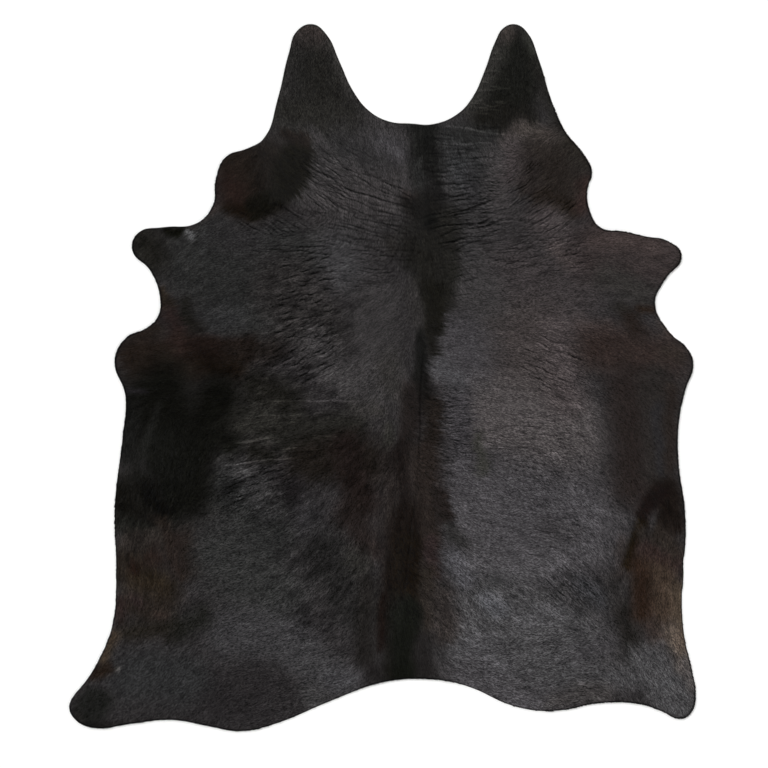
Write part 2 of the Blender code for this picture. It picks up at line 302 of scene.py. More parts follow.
    "right of back upper": (29, 27, 36, 12, 5, 6, "#393738"),
    "right of back": (24, 10, 30, -8, 6, 5, "#403e41"),
    "right side upper": (44, 12, 46, -6, 7, 7, "#403b3b"),
    "right side middle": (36, -12, 54, -18, 8, 7, "#4c4849"),
    "right by back": (22, -8, 24, -32, 2.5, 2.5, "#3d3b3e"),
    "right side lower": (32, -40, 56, -44, 11, 8, "#454346"),
    "right lower band": (27, -56, 50, -56, 3.5, 4, "#4a484b"),
    "right haunch": (34, -74, 52, -82, 12, 8, "#434244"),
    "right haunch middle": (42, -76, 50, -74, 2, 5, "#484749", 0.8),
    "right haunch near back": (21, -55, 24, -60, 2.2, 2.4, "#49484c"),
    "right haunch glint": (31, -67, 34, -69, 1.6, 2.6, "#4c4c50"),
    "right haunch glow": (33, -87, 28, -82, 3, 5, "#4a494c", 0.9),
    "right haunch low": (27, -92, 47, -99, 4, 5, "#484649"),
    "right haunch band": (42, -74, 53, -71, 1, 3, "#4c4b4e", 0.6),
    "right side warm": (52, 14, 55, -6, 3, 5, "#474142", 0.9),
    "right elbow glow": (60, 15, 66, 13, 1, 3, "#423b3b", 0.9),
    "right side olive": (29, -18, 30.5, -28, 0.8, 1.8, "#343430", 0.8),
    "right side shade": (33, -23, 36, -24.5, 0.8, 2, "#3a383a", 0.7),
    "right lower shade": (50, -45, 56, -46, 1.5, 3.5, "#3b393b", 0.8),
    "right haunch dark": (32, -60.5, 35, -61.5, 0.7, 1.8, "#303031", 0.6),
    "right haunch streak": (30, -71.5, 37, -71, 0.4, 1.3, "#3a3a3d", 0.5),
    "right herringbone": (60, -62, 65, -66, 1.4, 2.6, "#37373a", 0.8),
    "right hip dark": (69.5, -62, 75, -80, 2, 2.6, "#2a2828"),
    "right hip darkest": (72.5, -70, 75, -80, 1.8, 2, "#211f1e"),
    "right hip upper": (71.5, -48, 70.5, -60, 0.6, 1.8, "#302b2a", 0.8),
    "right hip low": (75, -83, 77, -85, 1.6, 3, "#2f2e2e", 0.8),
    "right hind shade": (60, -84, 68, -80, 1.2, 3, "#3f3d40", 0.6),
    "right hind light": (66, -90, 74, -90, 1.6, 3, "#434244"),
    "right hind edge": (52, -97, 66, -95, 1, 3, "#403d3d", 0.8),
    # right elbow, flank and stifle
    "right elbow": (66, 8, 84, 5, 4.2, 5, "#302826"),
    "right elbow shade": (74, 17, 76, 13, 1.2, 2.4, "#27211f"),
    "right elbow cool": (84, 7, 89, 6.5, 0.8, 2.4, "#322c29", 0.9),
    "right flank": (75, -4, 76.5, -31, 4.5, 5, "#25201f"),
    "right flank outer": (83, -2, 83, -28, 3.5, 3, "#282524"),
    "right flank streak": (83, -9, 84.5, -28, 0.7, 1.6, "#282729", 0.8),
    "right flank rim": (87.5, -4, 87.5, -28, 0.6, 1.6, "#272220"),
    "right stifle dark": (85.5, -34, 87.5, -43.5, 3.2, 1.8, "#1a1614"),
    # painted shadow of the flank fold and of its crease
    "right stifle fold": (84.5, -34, 78, -40, 1.4, 1.5, "#171211"),
    "right stifle crease shade": (77.5, -43, 72.5, -57, 1.1, 1.4, "#1a150f"),
    "right stifle pale": (78, -46, 82, -48.5, 1.2, 2, "#2d2927", 0.9),
    "right stifle": (81, -59, 83.5, -67, 4.4, 4, "#352c26"),
    "right stifle rose": (79, -52, 87, -55, 2.2, 2.6, "#312725", 0.9),
    "right stifle grey": (84, -46, 88, -52, 1.4, 2.4, "#2b2623"),
    "right stifle gold": (83.5, -61, 85.5, -69, 1.8, 3.6, "#3f352e", 0.8),
    "right stifle red low": (76, -57, 77.5, -70, 1.4, 2.6, "#2a201b"),
    "right stifle foot": (80, -74, 83, -78, 1.2, 2.4, "#332b28", 0.8),
    "right stifle tan": (88.4, -64, 90.5, -78, 1, 2.6, "#4d433a"),
    "right hock tan": (87, -76, 91, -86, 1.4, 2.6, "#574d46", 0.9),
    "right hind tip": (81, -87, 88, -97, 5, 3.5, "#444345"),
    "right hind outer": (91, -85, 93.5, -93, 0.6, 2, "#4d4949"),
    "right hind tip dark": (84, -92, 88, -91, 0.6, 1.4, "#3b3b3d", 0.7),
    # back
    "neck ridge": (12.2, 76, 13, 62, 2.7, 2.4, "#161615"),
    "neck ridge low": (15, 66, 15.5, 58, 1.1, 1.6, "#191918"),
    "neck ridge foot": (13, 60, 13.5, 52, 2.2, 2.6, "#1e1d1d"),
    "neck ridge fuzz": (10.2, 64, 11.5, 59, 0.8, 1.8, "#2a2a2a", 0.8),
    "withers left smudge": (7.5, 53, 9.5, 50, 1, 2.2, "#1a1817"),
    "withers pink": (7, 55.5, 10, 54.5, 0.3, 1.4, "#332d2c", 0.7),
    "withers": (13.5, 50, 13, 38, 3.6, 3.5, "#161514"),
    "withers core": (13, 47.5, 15.5, 47, 1, 1.8, "#111110"),
    "withers right": (19, 47, 20.5, 31, 1.8, 3, "#1e1d1b", 0.9),
    "withers left": (7, 44, 7.5, 35, 1.4, 3, "#1f1e1d", 0.9),
    "withers far left": (2, 41, 3, 38, 0.8, 2.4, "#272524", 0.9),
    "behind withers": (13.5, 38, 15, 24, 4, 3.4, "#1d1c1a"),
    "behind withers right": (19, 36, 18.5, 24, 1.8, 3.4, "#201f1d"),
    "back upper": (15.5, 25, 15, 15, 2.4, 2, "#191815"),
    "back grey wedge": (8, 24, 10, 16, 1.2, 1.8, "#302e2e", 0.9),
    "back middle": (11.8, 11, 12.6, 1, 1.2, 1.6, "#141413"),
    "back tail of dark": (15.2, 15, 16, 7, 1, 1.6, "#1b1a18"),
    "back pale triangle": (18, 3, 22, -2, 1.6, 2.4, "#444346"),
    "back saddle": (12.6, -1, 13, -9, 1.8, 1.8, "#161514"),
    "back left brown": (8.6, -5, 7, -24, 1.8, 2.4, "#1e1a19"),
    "back right brown": (14.6, -9, 14.6, -24, 1.6, 1.6, "#221e1c"),
    "loin left": (6.8, -22, 6.0, -46, 2.2, 1.8, "#1b1716"),
    "loin left fringe": (2, -24, 2.4, -44, 1.4, 3, "#282423"),
    "loin right": (13, -24, 13, -48, 3, 2.4, "#26211f"),
    "loin lobe": (17.8, -36, 19, -42.5, 2.1, 1.2, "#221e1d"),
    "loin lobe low": (20, -46, 24, -50.5, 1.2, 1.4, "#2a2929", 0.9),
    "croup red": (14, -50, 14, -58, 1.3, 2, "#2d2525"),
    "croup left": (6.6, -42, 4.4, -64, 2.8, 2.2, "#181412"),
    "croup": (7.4, -50, 7, -70, 2.6, 2, "#17130f"),
    "croup right brown": (12.5, -58, 13.5, -74, 1.6, 2.2, "#26221f"),
    "rump brown mottle": (17, -65, 19, -77, 2.2, 3, "#2e2a29"),
    "rump": (5, -70, 6, -92, 4.4, 2.2, "#1a1917"),
    "rump core": (7.2, -69, 6.2, -90, 2.9, 1.6, "#161714"),
    "rump right": (13.2, -78, 13.5, -92, 1.4, 2.6, "#222020"),
    "rump red edge": (1.2, -66, -0.8, -80, 0.5, 1.2, "#1b1513", 0.9),
}

# Fine wrinkles in groups. reach is half the group's width and height, length and spacing are
# in centimetres, width and depth in millimetres, and tone is how much darker a wrinkle is
# painted: painted shade in its trough and a painted highlight on its crest, the other way
# round where tone is below zero.
Wrinkles = namedtuple(
    "Wrinkles", "x y reach_x reach_y angle length width spacing depth tone"
)
WRINKLES = {
    "left neck": (-5, 51, 18, 12, -19, 9.0, 3.0, 2.4, 0.8, 0.95),
    "left neck short": (-6, 50, 18, 15, -16, 4.0, 2.7, 1.6, 0.5, 0.65),
    "left neck upper": (-10, 62, 12, 9, -30, 5.0, 2.7, 1.8, 0.6, 0.55),
    "left neck low": (1, 40, 13, 9, -8, 6.0, 2.7, 1.8, 0.6, 0.7),
    "left of withers": (-5, 32, 12, 8, -7, 4.0, 2.6, 1.7, 0.4, 0.6),
    "left armpit edge": (-18, 58, 9, 12, -38, 4.5, 2.4, 1.4, 0.6, 0.95),
    "left armpit low edge": (-32, 48, 14, 7, -30, 5.0, 2.5, 1.6, 0.6, 0.8),
    "left withers": (-26, 39, 17, 8, -2, 4.5, 2.7, 1.6, 0.4, 0.65),
    "right neck top": (25, 72, 15, 6, -5, 9.0, 3.0, 1.9, 0.6, 0.9),
    "right neck": (22, 62, 12, 11, 2, 5.0, 3.2, 1.9, 0.8, 1.05),
    "right neck short": (26, 60, 13, 13, 4, 2.2, 2.7, 1.3, 0.5, 0.8),
    "right neck low": (23, 47, 13, 11, 14, 9.0, 3.2, 2.2, 0.8, 1.05),
    "right neck low short": (27, 47, 14, 11, 10, 4.0, 2.7, 1.5, 0.5, 0.65),
    "right of withers": (22, 33, 9, 12, 12, 4.0, 2.7, 1.6, 0.6, 0.7),
    "right flap edge": (32, 88, 7, 14, 0, 5.0, 2.4, 1.9, 0.4, -1.5),
    "right armpit edge": (44, 56, 8, 11, 38, 4.0, 2.6, 1.5, 0.5, 0.75),
    "right armpit low edge": (51, 49, 10, 7, 36, 4.5, 2.8, 1.6, 0.6, 0.95),
    "right shoulder": (53, 37, 12, 9, 8, 3.5, 2.8, 1.7, 0.4, 0.65),
    "right shoulder front": (39, 40, 11, 10, 9, 4.5, 2.6, 1.8, 0.4, 0.6),
    "right by back": (22, -16, 6, 18, -3, 3.0, 2.6, 1.5, 0.4, 0.65),
    "right side arcs": (51, 4, 12, 13, -25, 5.0, 2.6, 1.6, 0.5, 0.7),
    "right side dashes": (46, -20, 18, 13, -4, 3.5, 2.6, 1.6, 0.4, 0.55),
    "right lower": (47, -44, 18, 13, -3, 5.0, 2.6, 1.8, 0.3, 0.4),
    "right herringbone": (57, -63, 11, 9, -45, 3.5, 2.4, 1.5, 0.5, 0.8),
    "left storage": (-30, -16, 20, 12, 3, 9.0, 2.2, 3.4, 0.3, -0.5),
    "left mottle": (-23, 26, 12, 16, 14, 3.0, 3.4, 2.0, 0.6, 0.85),
    "left mottle low": (-24, 8, 14, 12, 30, 3.0, 3.2, 1.8, 0.5, 0.85),
    "left tufts": (-38, -31, 14, 12, 22, 3.5, 2.8, 1.7, 0.5, 0.8),
}

# Single creases that show from a step away. half_width and height are in millimetres, and
# tone is how much lighter the crease is painted than the coat beside it: a painted highlight
# where the bent hair catches the light, and painted shade where tone is below zero.
Crease = namedtuple(
    "Crease", "x0 y0 x1 y1 half_width height tone", defaults=(2.0, -1.0, -0.45)
)
CREASES = {
    "left armpit long": (-33.0, 52.6, -22.2, 46.3, 2.2, -1.2, -0.5),
    "left armpit upper": (-21.0, 62.8, -13.2, 58.6),
    "left neck lower": (-13.2, 43.3, -6.3, 41.2),
    "left of withers upper": (3.0, 55.0, 9.9, 51.4),
    "left of withers middle": (-6.0, 48.7, 5.1, 47.5, 2.2, -1.1, -0.45),
    "left of withers lower": (-6.0, 39.7, 1.8, 37.0, 1.8, -0.9, -0.4),
    "right neck first": (15.3, 57.4, 28.8, 58.3, 2.0, -1.0, -0.5),
    "right neck second": (19.8, 52.6, 27.9, 54.0),
    "right neck third": (20.1, 48.1, 33.9, 53.5),
    "right neck fourth": (20.1, 45.4, 32.4, 46.6),
    "right neck fifth": (19.8, 37.3, 30.6, 41.5, 2.2, -1.1, -0.5),
    "right bay arc": (18.9, 75.7, 36.9, 72.7, 2.0, 0.7, 1.1),
    "right bay second arc": (14.4, 69.7, 32.4, 70.3, 1.8, 0.6, 0.6),
    "left storage long": (-33.0, -7.1, -8.7, -7.1, 1.8, 0.6, 0.7),
    "left storage short": (-45.3, -19.7, -33.0, -18.2, 2.2, 0.9, 1.5),
    "left storage low": (-48.0, -26.3, -25.5, -24.2, 2.0, 0.8, 1.2),
    "left storage piece": (-30.6, -21.8, -25.5, -20.9, 1.8, 0.6, 0.8),
    "back crease": (12.2, 8.0, 10.6, -30.0, 2.4, -1.6, -0.45),
    "back crease low": (10.6, -30.0, 6.2, -67.0, 2.2, -1.0, -0.2),
    "right side fine": (49.2, -43.4, 54.0, -42.8, 1.6, -0.6, -0.35),
}


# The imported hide's own sizes, in metres.
RELIEF_CELL = 0.032  # its hair side's points lie this far apart
RIM_HEIGHT = 0.0034  # its hair side at the cut edge
GRID_FIT = 0.01  # of a cell, within which a point lies on the grid
FLAT = 1e-5  # a height under this is the floor's
SAME_PLACE = 1e-7  # two places this close are one
BODY = "root"
FLAT_WIDTH, FLAT_LENGTH, FLAT_AREA = 1.878, 2.12, 2.86  # the cut, which lies as it was cut

# Steps of the rasters, and how far they reach past the hide.
SLOW_STEP, COLOUR_STEP, FINE_STEP, RASTER_MARGIN = 0.008, 0.004, 0.0015, 0.03
EDGE_STEPS = 4  # points of the scene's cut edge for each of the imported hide's
EDGE_BLOCK = 20000  # places worked out at a time
NEAR_EDGE = 0.02  # where the distance to the cut edge is worked out exactly

# Directions, markings, wrinkles and creases.
LIE_REACH = 0.07  # a row of LIES rules alone this close to its place
PATCH_DRIFT, PATCH_SWELL = 0.012, 0.12  # how far and how often a patch's edge strays
FADE_STARTS, FADE_WIDTH = 0.5, 2.0  # soft widths short of a patch's spread, and from there
WRINKLE_TURN, WRINKLE_BEND = 8.0, 0.004  # how far one leaves its group's line: degrees, metres
WRINKLE_LIGHT, WRINKLE_CREST = 0.7, 1.2  # how lopsided a wrinkle is, and how high its crests
WRINKLE_BORDER = 0.4  # of a group's reach, over which it fades out
WRINKLE_SIZES = (0.3, 0.7)  # least and most half length, in its group's length
WRINKLE_STRENGTHS = (0.2, 1.0)  # least and most, of its group's depth and tone
CREASE_DRIFT, CREASE_SWELL = 0.004, 0.05  # how far and how often wrinkles and creases stray
PATCH_SEEDS, CREASE_SEEDS, STREAK_SEED, WRINKLE_SEED = (11, 12), (21, 22), 31, 100
TONE_LEAST, TONE_MOST = -0.75, 1.6  # what the painted shade and painted highlights of all wrinkles and creases in a place may add
RIM_SHADE, RIM_SHADE_WIDTH = 0.95, 0.0045  # how much darker the rim is, and how far in

# The skin.
SKIN_NAME = "skin"
SKIN_LEAST = 0.0012  # its thickness in the deepest wrinkle
UNDERSIDE_CELL = 0.04  # distance between the points of the flat underside
TOP_INSET, UNDERSIDE_INSET = 0.004, 0.02  # from the cut edge to the nearest points inside
# Rows of points round the cut edge from the hair side to the flesh side, as a distance in
# from the edge in metres and a share of the skin's height there.
EDGE_ROWS = ((0.0009, 1.0), (0.0003, 0.86), (0.0, 0.5), (0.0003, 0.12), (0.0008, 0.0))
GRAIN_SLOT, EDGE_SLOT, FLESH_SLOT = 0, 1, 2  # its materials, in this order

# The coat's locks.
COAT_STRIPS = (
    "coat_left_legs",
    "coat_left_side",
    "coat_back",
    "coat_right_side",
    "coat_right_legs",
)
ROOT_INSET = 0.0008  # from the cut edge to the outermost roots
MEAN_LENGTH, OWN_LENGTH, TUFT_LENGTH = 0.82, 0.16, 0.12  # of the setting, and what varies
WIDTH_VARIES = 0.25  # of a lock's width, either way
LEAST_REACH = 0.4  # of the overhang, which every lock at the edge may reach past it
SHORTEST = 0.15  # of its length, which a lock keeps where the edge cuts it short
EDGE_ZONE = 1.2  # in lengths: a lock with its root further inside never reaches the edge
WIDEST_AT = 0.42  # of a lock's length
TIP_LIFT = 0.0006  # how far the highest tips stand above the coat
OWN_LIFT, SMALL_LIFT, LARGE_LIFT = 0.65, 0.25, 0.1  # shares of it: the lock's and its tufts'
MIDDLE_RISE = 0.62  # of the rise from root to tip, where a lock is widest
CROWN = 0.25  # how far a lock's sides hang below its middle, as a share of its half width
# Small tufts are a few locks, and large ones a finger's width: width and length.
SMALL_TUFT = (0.0042, 0.013)
LARGE_TUFT = (0.011, 0.032)
# Degrees by which a lock turns and rolls on its own and with its tufts. GATHER is how far the
# locks at a small tuft's sides lean in to its middle.
OWN_TURN, SMALL_TURN, LARGE_TURN, GATHER = 7.0, 9.0, 7.0, 9.0
OWN_ROLL, SMALL_ROLL = 6.0, 2.0
# Where a lock's shade is read, as shares of its length: others lie over its first half, so
# the middle's is read further on, where the lock comes into sight.
MIDDLE_SEEN, TIP_SEEN = 0.62, 0.95
# What a lock's tone owes to its tufts, itself and its strand, in the grain that LIES gives.
SMALL_GRAIN, LARGE_GRAIN, OWN_GRAIN, STRAND_GRAIN = 0.3, 0.1, 2.45, 0.6
GRAIN_LIGHT = 1.3  # what light locks add more than dark ones take
STREAKS = ((0.016, 0.045), (0.008, 0.022))  # width and length
STRANDS = (0.0042, 0.032)  # width and length
# A lock's root is painted darker, painted shade where other locks lie over it, and its tip a
# little lighter.
ROOT_TONE, TIP_TONE = 0.72, 1.08
TONE_RANGE = (0.3, 1.9)  # least and most tone of a lock's points
KITE_ON_MAP = ((0.5, 0.02), (0.98, 0.45), (0.5, 0.98), (0.02, 0.45))  # root, right, tip, left
KITE_TRIANGLES = (0, 1, 2, 0, 2, 3)

# Materials.
COLOUR_NAME = "coat colour"
BAKE_MAP = "OFBake"
HAIR_MAP = "hairs"
MAP_BORDER = 0.02  # of the hide's size, left free round it on the map
HAIR_LINES = 9.0  # across each lock
HAIR_ROUGHNESS, HAIR_GLOSS = 0.42, 0.03
GLOSS_ADDS, SHADOWS_LEAVE, LEAST_COLOUR = 0.0033, 0.84, 0.001  # in linear light
# Real pores are 0.3 mm apart, fibres 0.1 mm thick and tufts of nap 0.5 mm long. All are too
# fine to show, so they are drawn coarser here.
PORE_SPACING, FIBRE_SIZE, NAP_SIZE = 0.0016, 0.0008, 0.0025
CLOUD_SIZE = 0.12  # of the suede's clouds of painted sheen
ROLLER_SIZE = 0.5  # of the floor paint's unevenness

# The studio.
FLOOR_RINGS, FLOOR_SIDES = (0.4, 2.0, 6.0, 20.0, 60.0), 48  # radii of its rings
FLOOR_GAP = 0.0005  # from the hide's underside down to the floor
WALL_TOP, CEILING = 0.35, 0.7  # sines of the heights between which the light fades
WALL_LIGHT, CEILING_LIGHT = 1.0, 0.05
# Suns. turn is the way the light comes from, and height how high it stands, in degrees.
Sun = namedtuple("Sun", "strength softness turn height")
SUNS = {"key": (2.8, 40, 125, 42), "fill": (1.2, 50, -50, 38)}
SUN_AWAY = 5.0
LENS, SENSOR_WIDTH = 100.0, 36.0  # in millimetres, as a camera states them
VIEW_MIDDLE, VIEW_WIDTH = (0.0045, -0.0192), 2.304  # what the picture shows of the floor


def linear(colour):
    """sRGB to linear light. The colour is a hex string or an array of values from 0 to 1."""
    if isinstance(colour, str):
        colour = srgb(colour)
    return np.where(colour <= 0.04045, colour / 12.92, ((colour + 0.055) / 1.055) ** 2.4)


def srgb(text):
    """The three sRGB values, from 0 to 1, of a hex string."""
    return np.array([int(text[i : i + 2], 16) for i in (1, 3, 5)]) / 255


def size_setting(name, description, default, least):
    """A length in metres, as a setting."""
    return FloatProperty(
        name=name, description=description, default=default, min=least, unit="LENGTH"
    )


def colour_setting(name, description, default, most=1.0):
    """A colour in linear light, as a setting. Its default is given in sRGB."""
    return FloatVectorProperty(
        name=name,
        description=description,
        subtype="COLOR",
        default=tuple(linear(default)),
        min=0.0,
        max=most,
    )


class RugSettings(bpy.types.PropertyGroup):
    """Sizes and colours of the rug's looks."""

    lock_length: size_setting(
        "Hair length", "Length of a lock of hair, from its root to its tip", 0.0105, 0.004
    )
    lock_width: size_setting(
        "Lock width", "Width of a lock of hair at its widest place", 0.0025, 0.0005
    )
    lock_spacing: size_setting(
        "Root spacing", "Distance from one lock's root to the next", 0.00255, 0.002
    )
    coat_depth: size_setting(
        "Coat depth", "Thickness of the coat as it lies pressed flat on the skin", 0.0018, 0.0
    )
    overhang: size_setting(
        "Overhang", "How far the hair reaches past the cut edge", 0.002, 0.0
    )
    skin_cell: size_setting(
        "Skin mesh size", "Distance between the skin's points", 0.008, 0.004
    )
    coat_tint: colour_setting(
        "Coat tint", "Multiplies the colours of the coat and of its skin", "#fffffc", 1.5
    )
    cut_edge: colour_setting(
        "Cut edge", "Colour of the palest fibres at the knife-cut edge", "#2b2420"
    )
    flesh_side: colour_setting(
        "Flesh side", "Colour of the suede underneath where its nap is palest", "#b9ab95"
    )
    floor: colour_setting("Floor", "Colour of the studio's floor", "#f8f8f7")
    seed: IntProperty(
        name="Seed",
        description="Picks another draw of the coat's random locks",
        default=7,
        min=0,
    )


# ----------------------------------------
# Fields over the plane. x, y and what is worked out from them are arrays of one shape.


def ease(share):
    """0 up to a share of 0, 1 from a share of 1, and 3 s^2 - 2 s^3 at a share s between."""
    share = np.clip(share, 0, 1)
    return share * share * (3 - 2 * share)


def between(least, most, share):
    """least at a share of 0, most at a share of 1, and a straight rise between."""
    return least + (most - least) * share


def from_line(x, y, row):
    """How far each place is from the straight line between a row's two ends, and how far
    along the line its nearest point lies, from 0 to 1."""
    start_x, start_y, end_x, end_y = (row[i] * CM for i in range(4))
    along_x, along_y = end_x - start_x, end_y - start_y
    share = (x - start_x) * along_x + (y - start_y) * along_y
    share = np.clip(share / (along_x**2 + along_y**2), 0, 1)
    away = np.hypot(x - start_x - share * along_x, y - start_y - share * along_y)
    return away, share


def strewn(x, y, cell, reach, numbers, seed):
    """One random point lies in each square cell of the plane. Yields, for each cell up to
    reach cells away, how far each place is from that cell's point in x and y, and the
    cell's random numbers from 0 to 1."""
    column, row = np.floor(x / cell).astype(int), np.floor(y / cell).astype(int)
    first_column, first_row = column.min() - reach, row.min() - reach
    shape = (column.max() + reach + 1 - first_column, row.max() + reach + 1 - first_row)
    drawn = np.random.default_rng(seed).random((2 + numbers, *shape), dtype=np.float32)
    for i in range(-reach, reach + 1):
        for j in range(-reach, reach + 1):
            found = drawn[:, column + i - first_column, row + j - first_row]
            away_x = x - (column + i + found[0]) * cell
            away_y = y - (row + j + found[1]) * cell
            yield away_x, away_y, found[2:]


def swells(x, y, size, seed):
    """A smooth random field from -1 to 1 with swells about size wide: random values at the
    corners of square cells, eased from corner to corner."""
    column, row = np.floor(x / size).astype(int), np.floor(y / size).astype(int)
    share_x, share_y = ease(x / size - column), ease(y / size - row)
    column, row = column - column.min(), row - row.min()
    corners = np.random.default_rng(seed).uniform(-1, 1, (column.max() + 2, row.max() + 2))
    low = corners[column, row] * (1 - share_x) + corners[column + 1, row] * share_x
    high = corners[column, row + 1] * (1 - share_x) + corners[column + 1, row + 1] * share_x
    return low * (1 - share_y) + high * share_y


def streaks(x, y, lie_x, lie_y, width, length, seed):
    """A random field of long soft spots along the hair, one in each cell, lighter or darker
    by up to 1. A spot fades as exp(-a^2 - b^2), where a and b are the distances across and
    along it in half widths and half lengths."""
    cell = math.sqrt(width * length)
    total = np.zeros(x.shape)
    for away_x, away_y, drawn in strewn(x, y, cell, math.ceil(length / cell), 1, seed):
        along = (away_x * lie_x + away_y * lie_y) / (length / 2)
        across = (away_y * lie_x - away_x * lie_y) / (width / 2)
        total += (2 * drawn[0] - 1) * np.exp(-(along**2) - across**2)
    return total


class Raster:
    """Places over the hide a step apart, where slow fields are worked out once. A field is
    read between them by straight interpolation."""

    def __init__(self, step):
        low, high = CAD_BOX
        self.step = step
        self.low = (low.x - RASTER_MARGIN, low.y - RASTER_MARGIN)
        self.count = [
            math.ceil((high[axis] + RASTER_MARGIN - self.low[axis]) / step) + 1
            for axis in (0, 1)
        ]
        across, along = (
            start + step * np.arange(count) for start, count in zip(self.low, self.count)
        )
        self.x, self.y = np.meshgrid(across, along, indexing="ij")

    def read(self, field, x, y):
        """The field at each place, from the four of the raster's places round it."""
        column = (x - self.low[0]) / self.step
        row = (y - self.low[1]) / self.step
        i = np.clip(np.floor(column).astype(int), 0, self.count[0] - 2)
        j = np.clip(np.floor(row).astype(int), 0, self.count[1] - 2)
        share_x, share_y = np.clip(column - i, 0, 1), np.clip(row - j, 0, 1)
        if field.ndim == 3:
            share_x, share_y = share_x[..., None], share_y[..., None]
        low = field[i, j] * (1 - share_x) + field[i + 1, j] * share_x
        high = field[i, j + 1] * (1 - share_x) + field[i + 1, j + 1] * share_x
        return low * (1 - share_y) + high * share_y


# ----------------------------------------
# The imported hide


def packed_hide():
    """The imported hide's points, each once, and its triangles."""
    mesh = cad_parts["hide"].data
    places = np.empty(len(mesh.vertices) * 3, np.float32)
    mesh.vertices.foreach_get("co", places)
    corners = np.empty(len(mesh.polygons) * 3, np.int32)
    mesh.polygons.foreach_get("vertices", corners)
    places, merged = np.unique(
        places.reshape(-1, 3).round(6), axis=0, return_inverse=True
    )
    return places.astype(float), merged.ravel()[corners].reshape(-1, 3)


def cut_edge(places, triangles):
    """The cut edge, anticlockwise from above: the outer sides of the triangles that lie on
    the floor, put end to end, then rounded by a cubic through every point.

    The ring doubles in each round: it is carried on by the points that lie as far ahead of
    its own as it is long.
    """
    underside = triangles[(places[triangles, 2] < FLAT).all(1)]
    sides = np.concatenate([underside[:, [a, b]] for a, b in ((0, 1), (1, 2), (2, 0))])
    # One number for each side, and the number it has when it is turned round.
    names, turned = sides @ (len(places), 1), sides @ (1, len(places))
    outer = sides[~np.isin(names, turned)]
    ahead = np.zeros(len(places), int)
    ahead[outer[:, 1]] = outer[:, 0]  # each point's next one, as the underside faces down
    ring = outer[:1, 0]
    while len(ring) < len(outer):
        ring = np.concatenate([ring, ahead[ring]])
        ahead = ahead[ahead]
    corners = places[ring[: len(outer)], :2]
    share = (np.arange(EDGE_STEPS) / EDGE_STEPS)[:, None, None]
    curve = sum(
        weight * np.roll(corners, shift, 0)
        for weight, shift in zip(cubic_weights(share), (1, 0, -1, -2))
    )
    return curve.transpose(1, 0, 2).reshape(-1, 2)


def from_edge(x, y, edge):
    """How far each place is inside the cut edge, below zero outside it. A place is inside
    if a line from it to the right crosses the edge an odd number of times."""
    (ax, ay), (bx, by) = edge.T, np.roll(edge, -1, 0).T
    side_x, side_y = bx - ax, by - ay
    slope = side_x / np.where(side_y == 0, 1, side_y)
    places = np.column_stack([x.ravel(), y.ravel()])
    found = []
    for block in np.array_split(places, len(places) // EDGE_BLOCK + 1):
        px, py = block[:, :1], block[:, 1:]
        share = ((px - ax) * side_x + (py - ay) * side_y) / (side_x**2 + side_y**2)
        share = np.clip(share, 0, 1)
        away = np.hypot(px - ax - share * side_x, py - ay - share * side_y).min(1)
        crossed = ((ay > py) != (by > py)) & (px < ax + slope * (py - ay))
        found.append(np.where(crossed.sum(1) % 2, away, -away))
    return np.concatenate(found).reshape(x.shape)


def relief(raster, places):
    """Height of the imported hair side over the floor: its points lie on a square grid, and
    a cubic through each row of four of them gives the heights between. Past the edge the
    grid has the rim's height."""
    on_grid = places[:, :2] / RELIEF_CELL
    kept = (abs(on_grid - on_grid.round()) < GRID_FIT).all(1) & (places[:, 2] > FLAT)
    cells = on_grid[kept].round().astype(int)
    margin = math.ceil(RASTER_MARGIN / RELIEF_CELL) + 2
    first = cells.min(0) - margin
    heights = np.full(cells.max(0) + margin + 1 - first, RIM_HEIGHT)
    heights[tuple((cells - first).T)] = places[kept, 2]
    column, row = raster.x / RELIEF_CELL - first[0], raster.y / RELIEF_CELL - first[1]
    i, j = np.floor(column).astype(int), np.floor(row).astype(int)
    return sum(
        weight_x * weight_y * heights[i + a - 1, j + b - 1]
        for a, weight_x in enumerate(cubic_weights(column - i))
        for b, weight_y in enumerate(cubic_weights(row - j))
    )


def cubic_weights(share):
    """What each of four points in a row adds at a share of the way from the second to the
    third, on the cubic that runs through them."""
    square, cube = share**2, share**3
    return (
        (2 * square - share - cube) / 2,
        (2 - 5 * square + 3 * cube) / 2,
        (share + 4 * square - 3 * cube) / 2,
        (cube - square) / 2,
    )


# ----------------------------------------
# The coat's direction, colour and wrinkles


def hair_lie(x, y):
    """Direction of the hair as a unit vector, then the coat's grain, mottle and feather: the
    mean of the table's rows, each with a weight of 1 / (d^2 + r^2)^2, where d is how far away
    its place is and r is LIE_REACH."""
    total, weights = np.zeros((*x.shape, 5)), np.zeros((*x.shape, 1))
    for row in starmap(Lie, LIES.values()):
        away = np.hypot(x - row.x * CM, y - row.y * CM)[..., None]
        weight = 1 / (away**2 + LIE_REACH**2) ** 2
        angle = math.radians(row.angle)
        total += weight * (math.cos(angle), math.sin(angle), *row[3:])
        weights += weight
    total /= weights
    total[..., :2] /= np.linalg.norm(total[..., :2], axis=-1, keepdims=True)
    return total


